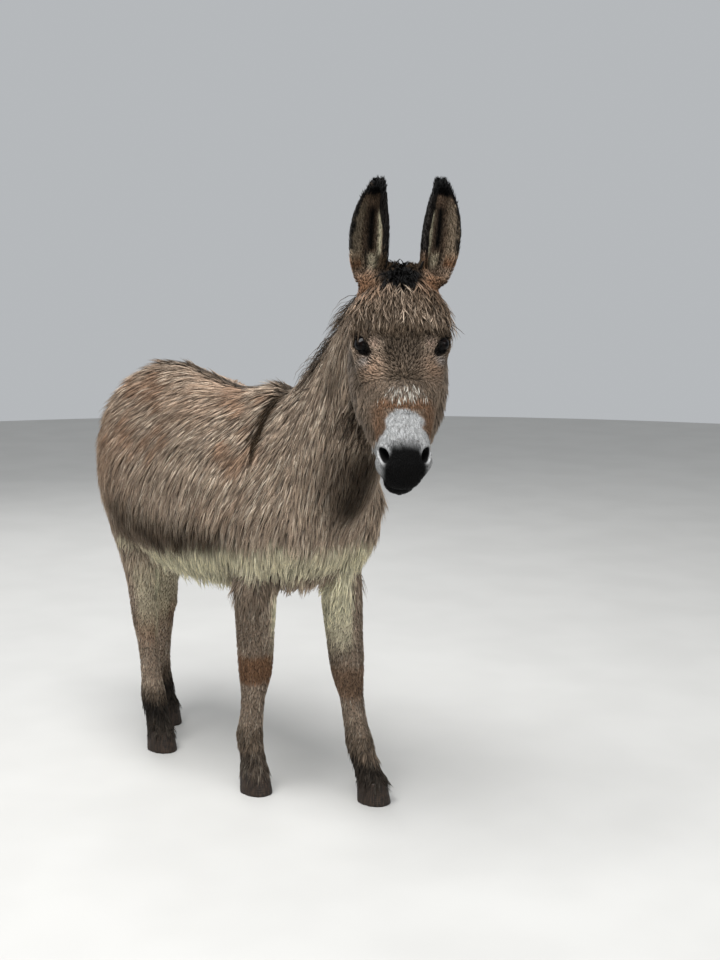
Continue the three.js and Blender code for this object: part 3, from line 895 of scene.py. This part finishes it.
def coatColour(finish, along, chance, tint):  # the same markings on the skin and on every lock, with painted shade towards each lock's root
    look = coatColours
    dark, cream, rust, pale = finish.channels("mark")
    black = finish.channels("lock")[3]
    colour = tint.over(0.45, 0.95).mix(look["dun"], look["dunTip"])
    colour = (rust * (0.7 + 0.3 * tint)).mix(colour, look["rust"])
    colour = dark.mix(colour, look["dark"])
    colour = pale.mix(colour, look["pale"])
    colour = cream.mix(colour, look["cream"])
    colour = black.mix(colour, look["black"])
    # painted shade: each lock darkens from tip to root as if shaded by the locks over it, less on cream and
    # pale hair
    whole = look["root"] + cream * 0.30 + pale * 0.20
    shade = whole + (1 - whole) * along.over(0.0, 0.9)
    return colour.scaled(shade * (0.44 + 1.14 * chance))


def coatFinish():
    finish = Finish("coat", Roughness=0.66, Specular_IOR_Level=0.16)
    along, chance, tint, _ = finish.channels("lock")
    strands = finish.noise(650, 2).over(0.25, 0.75, 0.78, 1.18)
    finish.link("Base Color", coatColour(finish, along, chance, tint).scaled(strands))
    return finish.material


def skinFinish():
    finish = Finish("skinAndShortHair", Roughness=0.75, Specular_IOR_Level=0.12)
    grain = finish.noise(420, 3)
    streak = finish.noise(160, 2, (1, 1, 0.35))
    # painted shade: the skin is coloured as a lock part way to its root, darkened as if under the coat
    colour = coatColour(finish, 0.35 + 0.3 * grain, 0.30 + 0.35 * streak, 0.5 * grain)
    finish.link("Base Color", colour)
    finish.bump(grain + 0.6 * streak, 0.5, 0.0012)
    return finish.material


finishes = {"coat": coatFinish(), "skin": skinFinish()}
setMarks(skin.data, markings(placesOf(skin.data), normalsOf(skin.data)))
skin.data.materials.append(finishes["skin"])


def newPiece(name, mesh, finish, replaced):
    mesh.polygons.foreach_set("use_smooth", np.ones(len(mesh.polygons), bool))
    mesh.materials.append(finish)
    piece = bpy.data.objects.new(name, mesh)
    bpy.context.scene.collection.objects.link(piece)
    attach(piece, "root")
    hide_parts(*replaced)


def eyeFinish():
    finish = Finish("eye", Roughness=0.06, IOR=1.33, Specular_IOR_Level=0.22)
    pupil, iris, angle, _ = finish.channels("mark")
    rays = finish.noise(900, 2)
    brown = (rays * 0.6 + 0.4 * angle).mix(paint(9, 7, 6), paint(24, 15, 11))
    colour = iris.mix(paint(10, 8, 8), brown)
    finish.link("Base Color", pupil.mix(colour, paint(6, 7, 10)))
    return finish.material


def makeEye(side, name, finish):  # a ball with a slight cornea, a pupil lying across and an iris
    ball = bmesh.new()
    bmesh.ops.create_uvsphere(ball, u_segments=64, v_segments=48, radius=1)
    mesh = bpy.data.meshes.new(name)
    ball.to_mesh(mesh)
    ball.free()
    out, along, across = placesOf(mesh)[:, [2, 0, 1]].T
    angle = np.arccos(np.clip(out, -1, 1))
    radius = eyeLook["radius"] + 0.0012 * smooth(0.62, 0.2, angle)
    axes = eyeAxes(side) @ headAxes
    setPlaces(mesh, eyes[side] + (np.stack([out, along, across], 1) * radius[:, None]) @ axes)
    pupil = 1 - smooth(0.85, 1.05, np.hypot(along / 0.34, across / 0.20))
    iris = 1 - smooth(0.56, 0.62, angle)
    setMarks(mesh, np.stack([pupil, iris, angle / 0.6, 0 * pupil, 0 * pupil], 1))
    newPiece(name + "_ball", mesh, finish, [name])


hoofLook = {
    "voxel": 0.0025,
    "rounds": 16,  # of smoothing
    "ring": 0.0007,  # how far a growth ring stands out
    "every": 0.0062,  # from one ring to the next
    "sole": 0.0016,  # all below this is flat on the floor
}


def hoofFinish():
    finish = Finish("hoofHorn", Roughness=0.5, Specular_IOR_Level=0.35)
    grain = finish.noise(260, 4, (1, 1, 0.12))
    dirt = finish.noise(70, 4)
    colour = grain.over(0.3, 0.75).mix(paint(30, 24, 20), paint(66, 53, 43))
    finish.link("Base Color", (dirt.over(0.45, 0.75) * 0.6).mix(colour, paint(52, 43, 34)))
    finish.link("Roughness", 0.42 + 0.4 * dirt)
    finish.bump(grain, 0.5, 0.0008)
    return finish.material


def makeHoof(name, finish):
    mesh = voxelWrap(joinedNodes([name], 0), hoofLook["voxel"])
    keepLargest(mesh)
    relax(mesh, np.ones(len(mesh.vertices)), hoofLook["rounds"], 1)
    places, normals = placesOf(mesh), normalsOf(mesh)
    z = places[:, 2]
    ring = np.sin(2 * math.pi * z / hoofLook["every"] + ripple(places, 0.05, 31))
    wall = smooth(0.003, 0.01, z) * smooth(0.0, 0.5, np.hypot(normals[:, 0], normals[:, 1]))
    places += normals * (ring * wall * hoofLook["ring"])[:, None]
    places[:, 2] = np.where(places[:, 2] < hoofLook["sole"], 0, places[:, 2])
    setPlaces(mesh, places)
    newPiece(name + "_horn", mesh, finish, [name])


eyeGloss = eyeFinish()
for side, name in ((-1, "eye_right"), (1, "eye_left")):
    makeEye(side, name, eyeGloss)
horn = hoofFinish()
for name in nodes:
    if name.endswith("hoof"):
        makeHoof(name, horn)
print("eyes and hooves done")

# the coat
flowLook = {  # how steeply the hair falls, in degrees, by region
    "side": 78,
    "back": 52,
    "rump": 84,
    "flank": 80,
    "shoulder": 62,
    "neck": 76,
    "leg": 84,
    "whorl": 0.262,  # how far down the head the face's whorl is
}


def flowAt(points, normals, zone):  # the way the hair lies
    x, y, z = zone.x, zone.y, zone.z
    steep = blend(flowLook["side"], flowLook["back"], smooth(0.86, 1.05, z))
    steep = blend(steep, flowLook["rump"], 1 - smooth(-0.48, -0.30, x))
    steep = blend(steep, flowLook["flank"], 1 - smooth(0.60, 0.72, z))
    steep = blend(steep, flowLook["shoulder"], smooth(0.14, 0.30, x) * smooth(0.70, 0.85, z))
    steep = blend(steep, flowLook["neck"], smooth(0.34, 0.48, x))
    steep = blend(steep, flowLook["leg"], 1 - smooth(0.46, 0.58, z))
    angle = np.radians(steep)
    body = np.stack([-np.cos(angle), 0 * x, -np.sin(angle)], 1)
    body = blendWays(body, [-0.15, 0, -1.0], smooth(0.42, 0.50, x) * (1 - smooth(0.72, 0.85, z)))
    body[:, 1] += 0.25 * np.sign(y) * smooth(0.95, 1.05, z)
    body = blendWays(body, [-1.0, 0, -0.2], 0.9 * spot(y, 0.022) * smooth(0.98, 1.04, z) * (x < 0.44))
    onCross = spot(crossGap(x, z), 0.016) * smooth(0.88, 0.94, z) * (np.abs(y) > 0.03)
    body = blendWays(body, [0.22, 0, -1.0], 0.8 * onCross)

    hx, hy, hz = zone.hx, zone.hy, zone.hz
    fromWhorl = np.stack([hx - flowLook["whorl"], hy * 0.8, 0 * hx], 1)
    away = np.linalg.norm(fromWhorl, axis=1, keepdims=True)
    upper = (hx < flowLook["whorl"])[:, None]
    face = np.where(upper, unit(fromWhorl), unit(unit(fromWhorl) + np.array([1.2, 0, 0])))
    face = blendWays(face, [0.9, 0, -0.1], smooth(0.05, 0.12, away[:, 0]) * ~upper[:, 0])
    ahead = np.stack([0.8 + 0 * hx, 0.25 * np.sign(hy), -0.5 + 0 * hx], 1)
    face = blendWays(face, ahead, 1 - smooth(-0.06, 0.01, hz))
    fringe = np.stack([1 + 0 * hx, 1.5 * hy, 0 * hx], 1)
    face = blendWays(face, fringe, 1 - smooth(0.125, 0.150, hx))
    face = unit(face) @ headAxes

    flow = blendWays(body, face, zone.head)
    tailWay = blendWays(np.array([-0.4, 0, -1.0]), [0, 0, -1.0], 1 - smooth(0.7, 0.9, z))
    flow = blendWays(flow, tailWay, zone.tail)
    for side in bothSides:
        on, _, inside, rim, across = earZone(points, side)
        axes = earAxes(side)
        flow = blendWays(flow, axes[2], nearEarFoot(points, side))
        outer = axes[2] + (0.2 * axes[0] + 0.45 * axes[1] * np.sign(across)[:, None]) * rim[:, None]
        inner = axes[2] + axes[1] * np.sign(across)[:, None] * 0.22
        flow = blendWays(flow, blendWays(outer, inner, inside), on)
    flow = flow - normals * (flow * normals).sum(1, keepdims=True)
    return unit(flow)


def triangles(mesh):
    mesh.calc_loop_triangles()
    corners = numbers(mesh.loop_triangles, "vertices", 3, np.int32)
    loops = numbers(mesh.loop_triangles, "loops", 3, np.int32)
    return corners, loops


class Hide:  # the skin's triangles, ready for sowing roots
    def __init__(self, mesh):
        self.places, self.normals = placesOf(mesh), normalsOf(mesh)
        self.corners, self.loops = triangles(mesh)
        self.layout = numbers(mesh.uv_layers["OFBake"].uv, "vector", 2).astype(float)
        a, b, c = (self.places[self.corners[:, corner]] for corner in range(3))
        self.areas = np.linalg.norm(np.cross(b - a, c - a), axis=1) / 2
        self.centres = (a + b + c) / 3
        self.tree = bvhtree.BVHTree.FromPolygons(self.places.tolist(), self.corners.tolist())

    def clear(self, points, room, furthest=0.03):  # points moved out to stand at least room off the skin
        found = [self.tree.find_nearest(place)[:2] for place in points.tolist()]
        near, out = np.array(found).transpose(1, 0, 2)
        short = room - ((points - near) * out).sum(1)
        return points + out * np.clip(short, 0, furthest)[:, None]

    def sow(self, amounts, dice):  # amounts: how many roots for each triangle, on average
        whole = np.floor(amounts + dice.random(len(amounts))).astype(int)
        chosen = np.repeat(np.arange(len(amounts)), whole)
        u, v = dice.random((2, len(chosen)))
        u, v = np.where(u + v > 1, 1 - u, u), np.where(u + v > 1, 1 - v, v)
        share = np.stack([1 - u - v, u, v], 1)[..., None]
        points = (self.places[self.corners[chosen]] * share).sum(1)
        normals = unit((self.normals[self.corners[chosen]] * share).sum(1))
        layout = (self.layout[self.loops[chosen]] * share).sum(1)
        return points, normals, layout


lockLook = {
    "outline": (0.5, 0.56, 0.44, 0.3),  # half-widths from root to tip, as shares of its width
    "thick": 0.34,  # its height at the root beside its width
    "buried": 0.025,  # the share of its length that is under the skin
}


def growLocks(name, hide, roots, dice, steps=2, curl=0.0):  # closed, tapering locks, ready for one mesh
    points, normals, flow = roots["points"], roots["normals"], roots["flow"]
    long, wide, lift, bend = roots["long"], roots["wide"], roots["lift"], roots["bend"]
    count = len(points)
    side = np.cross(flow, normals)
    spine = [points - normals * (lockLook["buried"] * long)[:, None]]
    way = flow * np.cos(lift)[:, None] + normals * np.sin(lift)[:, None]
    twist = dice.normal(0, 1, count) * curl
    for step in range(steps):
        room = wide * (0.7 + 0.9 * (step + 1) / steps)
        spine.append(hide.clear(spine[-1] + way * (long / steps)[:, None], room))
        inward = normals * (np.sin(bend) * 2 / steps)[:, None]
        way = unit(way - inward + roots["pull"] / steps + side * twist[:, None])
    rings = []
    for step in range(steps):
        share = step / steps
        half = side * (wide * lockLook["outline"][min(step * 4 // steps, 3)])[:, None]
        high = normals * (wide * lockLook["thick"] * (1 - 0.5 * share))[:, None]
        rings += [spine[step] - half, spine[step] + high, spine[step] + half]
    rings.append(spine[-1])
    per = 3 * steps + 1
    vertices = np.stack(rings, 1)
    faces = []
    for step in range(steps - 1):
        for corner in range(3):
            a, b = 3 * step + corner, 3 * step + (corner + 1) % 3
            faces += [(a, b, b + 3), (a, b + 3, a + 3)]
    last = 3 * (steps - 1)
    faces += [(last, last + 1, per - 1), (last + 1, last + 2, per - 1), (last + 2, last, per - 1), (0, 2, 1)]
    faces = np.array(faces)
    along = np.repeat(np.arange(steps + 1) / steps, [3] * steps + [1])
    seeds = np.stack([roots["chance"], roots["tint"]], 1)
    return {
        "name": name,
        "vertices": vertices,
        "faces": faces,
        "along": along,
        "seeds": seeds,
        "marks": roots["marks"],
        "layout": roots["layout"],
    }


def buildLocks(grown, finish):
    vertices, faces = grown["vertices"], grown["faces"]
    count, per = vertices.shape[:2]
    mesh = bpy.data.meshes.new(grown["name"])
    corners = (faces[None] + (np.arange(count) * per)[:, None, None]).reshape(-1)
    total = count * len(faces)
    mesh.vertices.add(count * per)
    mesh.vertices.foreach_set("co", vertices.astype(np.float32).ravel())
    mesh.loops.add(total * 3)
    mesh.loops.foreach_set("vertex_index", corners.astype(np.int32))
    mesh.polygons.add(total)
    mesh.polygons.foreach_set("loop_start", np.arange(0, total * 3, 3, dtype=np.int32))
    mesh.polygons.foreach_set("use_smooth", np.ones(total, bool))
    mesh.update(calc_edges=True)
    lock = np.empty((count, per, 3))
    lock[..., 0] = grown["along"]
    lock[..., 1:] = grown["seeds"][:, None]
    setMarks(mesh, np.repeat(grown["marks"], per, axis=0), lock.reshape(-1, 3))
    layout = mesh.uv_layers.new(name="OFBake")
    patch = 0.0015  # half a lock's patch on the layout
    angle = np.arange(per) * 2 * math.pi / per
    spread = np.stack([np.cos(angle), np.sin(angle)], 1) * patch
    spots = np.clip(grown["layout"][:, None] + spread, 0.001, 0.999).reshape(-1, 2)
    layout.uv.foreach_set("vector", spots[corners].astype(np.float32).ravel())
    mesh.materials.append(finish)
    piece = bpy.data.objects.new(grown["name"], mesh)
    bpy.context.scene.collection.objects.link(piece)
    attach(piece, "root")
    onFace = any(word in grown["name"] for word in ("head", "fringe", "forelock", "ear"))


clumpLook = {
    "locks": 6,  # in a clump
    "pull": 0.9,  # how closely they gather
    "drawn": 0.60,  # how drawn out a clump is along the hair
    "stray": 5,  # how far locks wander, in degrees
    "centre": (0, 0, 0.8),  # where the drawing out is taken from
}


def gather(points, normals, flow, long, zone, dice):  # leans each lock towards the middle of its clump
    count = len(points)
    heart = dice.permutation(count)[: max(1, int(count / clumpLook["locks"]))]
    free = toBody(points) - clumpLook["centre"]
    drawn = clumpLook["drawn"] * (1 - np.maximum(zone.head, zone.ear))
    fall = unit(np.array([-0.35, 0, -1.0]))
    free -= fall * ((free @ fall) * drawn)[:, None]
    tree = kdtree.KDTree(len(heart))
    for number, index in enumerate(heart):
        tree.insert(free[index], number)
    tree.balance()
    nearest = np.array([tree.find(place)[1] for place in free])
    target = points[heart][nearest] - points + (flow[heart][nearest] - flow) * long[:, None] * 0.5
    target -= normals * (target * normals).sum(1, keepdims=True)
    target -= flow * (target * flow).sum(1, keepdims=True)
    reach = np.linalg.norm(target, axis=1)
    target *= (np.minimum(reach, long * 0.3) / (reach + 1e-9))[:, None]
    flow = unit(flow + target / long[:, None] * clumpLook["pull"])
    return flow, dice.random((3, len(heart)))[:, nearest]


plainLook = {"bend": 0.9, "droop": 0.0}  # of a lock in the coat itself


def trimmed(long, lift, zone):  # short behind the head and round the ears' feet, loose on the croup
    long = long * (1 - 0.55 * smooth(0.60, 0.68, zone.x) * (1 - zone.head) * (1 - zone.ear))
    foot = zone.earFoot > 0.03
    long = np.where(foot & (zone.ear < 0.5), np.minimum(long, 0.010), long)
    lift = np.where(foot, 0.5 * lift, lift)
    return long, lift + np.radians(7) * spot(np.hypot(zone.x + 0.28, zone.z - 1.15), 0.16)


def sowLocks(hide, dice, look=None):  # roots over the whole skin, or where a look of its own says
    def valueOf(zone, what):
        return byRegion(zone, what) if look is None else np.full(len(zone.x), look[what])

    zone = zones(hide.centres)
    amounts = hide.areas / valueOf(zone, "gap") ** 2 * 1.0
    amounts *= (zone.lid > 0.0022) & (zone.nostril > 1.1) & (zone.hoof * zone.leg < 0.9)
    if look is not None:
        amounts *= look["where"](zone)
    points, normals, layout = hide.sow(amounts, dice)
    zone = zones(points)
    count = len(points)
    flow = flowAt(points, normals, zone)
    sideWay = np.cross(flow, normals)
    stray = np.radians(clumpLook["stray"]) * (ripple(points, 0.06, 21) + 0.5 * ripple(points, 0.02, 22))
    stray += np.radians(5) * dice.normal(size=count)
    flow = unit(flow * np.cos(stray)[:, None] + sideWay * np.sin(stray)[:, None])
    long = valueOf(zone, "long") * dice.uniform(0.7, 1.25, count)
    wide = valueOf(zone, "wide") * dice.uniform(0.7, 1.3, count)
    lift = np.radians(valueOf(zone, "lift")) * dice.uniform(0.6, 1.4, count)
    if look is None:
        long, lift = trimmed(long, lift, zone)
    calm = 1 - 0.35 * zone.head  # less varied on the face
    flow, (clumpChance, clumpTint, clumpLift) = gather(points, normals, flow, long, zone, dice)
    marks = markings(points + flow * long[:, None] * 0.55, normals)
    if look is not None and "marks" in look:
        marks = np.where(dice.random((count, 1)) < look["some"], look["marks"], marks)
    if look is not None and "end" in look:
        long = np.minimum(long, np.maximum(look["end"](zone), 0.012)) * dice.uniform(0.72, 1.12, count)
    own = look or plainLook
    return {
        "points": points,
        "normals": normals,
        "layout": layout,
        "flow": flow,
        "long": long,
        "wide": wide,
        "lift": lift * (0.4 + 1.2 * clumpLift),
        "bend": lift * own["bend"],
        "pull": np.zeros((count, 3)) + [0, 0, -own["droop"]],
        "chance": 0.5 + (0.5 * dice.random(count) + 0.5 * clumpChance - 0.5) * calm,
        "tint": (0.45 * dice.random(count) + 0.55 * clumpTint) * (0.3 + 0.7 * calm),
        "marks": marks,
        "zone": zone,
    }


def picked(roots, wanted):  # the same roots, only the wanted ones
    some = {key: value[wanted] for key, value in roots.items() if key != "zone"}
    some["zone"] = SimpleNamespace(**{key: value[wanted] for key, value in vars(roots["zone"]).items()})
    return some


hide = Hide(skin.data)
dice = np.random.default_rng(5)
roots = sowLocks(hide, dice)
zone = roots["zone"]
headCount, earCount, legCount = (int(share.sum()) for share in (zone.head, zone.ear, zone.leg))
print(f"locks: {len(zone.x)}, on the head {headCount}, on the ears {earCount}, on the legs {legCount}")
perPiece = 19000  # locks
order = np.argsort(zone.x + 10 * (zone.head > 0.5), kind="stable")
for number, start in enumerate(range(0, len(order), perPiece)):
    piece = picked(roots, order[start : start + perPiece])
    name = "coat_head" if piece["zone"].head.mean() > 0.6 else "coat_body"
    buildLocks(growLocks(f"{name}_{number}", hide, piece, dice), finishes["coat"])

# longer locks of their own, over the coat: where they grow, how far down they end, and as by region above;
# some is the share of them that takes the marks given
longLocks = {
    "fringe": {
        "where": lambda zone: (
            zone.head * between(0.012, 0.118, 0.008, zone.hx) * smooth(-0.06, -0.02, zone.hz)
            * smooth(-0.110, -0.085, zone.hy) * (1 - smooth(0.02, 0.15, zone.earFoot))
        ),
        "end": lambda zone: (
            0.196 - zone.hx + 0.012 * ripple(zone.points, 0.050, 18) - 0.25 * np.abs(zone.hy)
            + 0.009 * spot(np.abs(zone.hy) - 0.098, 0.020)
        ),
        "gap": 0.0045, "long": 0.060, "wide": 0.0035, "lift": 20,
        "bend": 0.9, "droop": 0.10, "curl": 0.15, "steps": 4,
        "marks": (0.85, 0, 0.15, 0, 0.15), "some": 0.36,
    },
    "forelock": {
        "where": lambda zone: (
            between(-0.02, 0.026, 0.006, zone.hx) * spot(zone.hy - 0.006, 0.022)
            * (zone.hz > -0.03) * (1 - zone.ear)
        ),
        "gap": 0.0021, "long": 0.046, "wide": 0.0036, "lift": 46,
        "bend": 1.3, "droop": 0.30, "curl": 0.14, "steps": 4,
        "marks": (0.3, 0, 0, 0, 1.0), "some": 1.0,
    },
    "mane": {
        "where": lambda zone: zone.crest * (1 - smooth(0.0, 0.10, zone.earFoot)),
        "gap": 0.0040, "long": 0.080, "wide": 0.0030, "lift": 34,
        "bend": 1.1, "droop": 0.65, "curl": 0.15, "steps": 4,
        "marks": (0.85, 0, 0.10, 0, 0.35), "some": 0.94,
    },
    "blaze": {
        "where": lambda zone: between(0.272, 0.302, 0.004, zone.hx) * spot(zone.hy, 0.030) * (zone.hz > 0),
        "gap": 0.0036, "long": 0.026, "wide": 0.0019, "lift": 14,
        "bend": 0.7, "droop": 0.0, "curl": 0.12, "steps": 3,
        "marks": (0, 0.25, 0.05, 0.75, 0), "some": 0.50,
    },
    "cross": {
        "where": lambda zone: (
            spot(crossGap(zone.x, zone.z), 0.0070) * smooth(0.93, 0.97, zone.z) * (zone.x < 0.36)
        ),
        "gap": 0.0034, "long": 0.046, "wide": 0.0028, "lift": 10,
        "bend": 0.9, "droop": 0.05, "curl": 0.03, "steps": 3,
        "marks": (0.95, 0, 0, 0, 0.30), "some": 0.95,
    },
    "backStripe": {
        "where": lambda zone: (
            spot(zone.y, 0.008) * smooth(1.00, 1.05, zone.z) * (zone.x < 0.40) * (zone.x > -0.44)
        ),
        "gap": 0.0046, "long": 0.046, "wide": 0.0030, "lift": 5,
        "bend": 0.9, "droop": 0.0, "curl": 0.10, "steps": 3,
        "marks": (0.95, 0, 0, 0, 0.25), "some": 0.9,
    },
    "pastern": {
        "where": lambda zone: zone.leg * between(0.062, 0.145, 0.012, zone.z),
        "gap": 0.0052, "long": 0.038, "wide": 0.0027, "lift": 9,
        "bend": 0.6, "droop": 0.20, "curl": 0.10, "steps": 3,
    },
    "bellyFringe": {
        "where": lambda zone: zone.belly * smooth(0.565, 0.585, zone.z) * (zone.z < 0.62),
        "gap": 0.0080, "long": 0.056, "wide": 0.0034, "lift": 22,
        "bend": 0.6, "droop": 0.5, "curl": 0.10, "steps": 3,
    },
    "lashes": {
        "where": lambda zone: (
            between(0.0024, 0.0046, 0.0004, zone.lid) * (zone.hx < 0.19) * (np.abs(zone.hy) > 0.05)
        ),
        "gap": 0.0022, "long": 0.013, "wide": 0.0011, "lift": 62,
        "bend": 0.6, "droop": 0.30, "curl": 0.05, "steps": 3,
        "marks": (0.5, 0, 0, 0, 0.97), "some": 1.0,
    },
    "earHair": {
        "where": lambda zone: zone.ear * zone.earInside * between(0.04, 0.66, 0.05, zone.earShare),
        "gap": 0.0034, "long": 0.019, "wide": 0.0012, "lift": 13,
        "bend": 0.9, "droop": 0.0, "curl": 0.10, "steps": 2,
    },
}
for name, look in longLocks.items():
    roots = sowLocks(hide, dice, look)
    print(f"{name}: {len(roots['points'])} locks")
    buildLocks(growLocks("coat_" + name, hide, roots, dice, look["steps"], look["curl"]), finishes["coat"])
print("coat built")

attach(skin, "root")
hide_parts(*[name for name in nodes if not name.startswith("eye") and not name.endswith("hoof")])

# camera, light and floor
view = {
    "place": (3.311, -2.498, 1.469),  # in the body's own axes
    "way": (-0.7428, 0.6695),  # the way it looks over the floor
    "drop": 8.9,  # how far it looks down, in degrees
    "lens": 56.25,
}
camera = bpy.data.objects.new("camera", bpy.data.cameras.new("camera"))
bpy.context.scene.collection.objects.link(camera)
camera.data.lens = view["lens"]
camera.location = Vector(view["place"]) + Vector(bodyZero)
drop = math.radians(view["drop"])
aim = Vector((*(math.cos(drop) * share for share in view["way"]), -math.sin(drop)))
camera.rotation_euler = aim.to_track_quat("-Z", "Y").to_euler()
bpy.context.scene.camera = camera

aimedAt = Vector((0, 0, 0.7))
lamps = {  # place, size across, power
    "overhead": ((0.6, -1.4, 4.6), 3.0, 290),
    "window": ((4.2, -0.4, 2.6), 2.5, 50),
    "behind": ((-3.5, 1.5, 3.2), 3.0, 60),
}
for name, (place, size, power) in lamps.items():
    lamp = bpy.data.lights.new(name, "AREA")
    lamp.shape, lamp.size, lamp.energy = "DISK", size, power
    holder = bpy.data.objects.new(name, lamp)
    holder.location = place
    holder.rotation_euler = (aimedAt - Vector(place)).to_track_quat("-Z", "Y").to_euler()
    bpy.context.scene.collection.objects.link(holder)
world = bpy.data.worlds.new("room")
bpy.context.scene.world = world
world.use_nodes = True
glow = world.node_tree.nodes["Background"].inputs
glow["Color"].default_value = (0.80, 0.83, 0.86, 1)
glow["Strength"].default_value = 0.58
bpy.context.scene.view_settings.view_transform = "Standard"


def makeFloor():
    bpy.ops.mesh.primitive_circle_add(vertices=96, radius=9, fill_type="NGON", location=(0, 0, -0.0005))
    floor = bpy.context.object
    floor.name = "floor"
    finish = Finish("floorPaint", Roughness=0.75)
    tone = finish.noise(3, 2).over(0.3, 0.7).mix(paint(186, 185, 182), paint(190, 189, 186))
    finish.link("Base Color", tone)
    floor.data.materials.append(finish.material)


makeFloor()
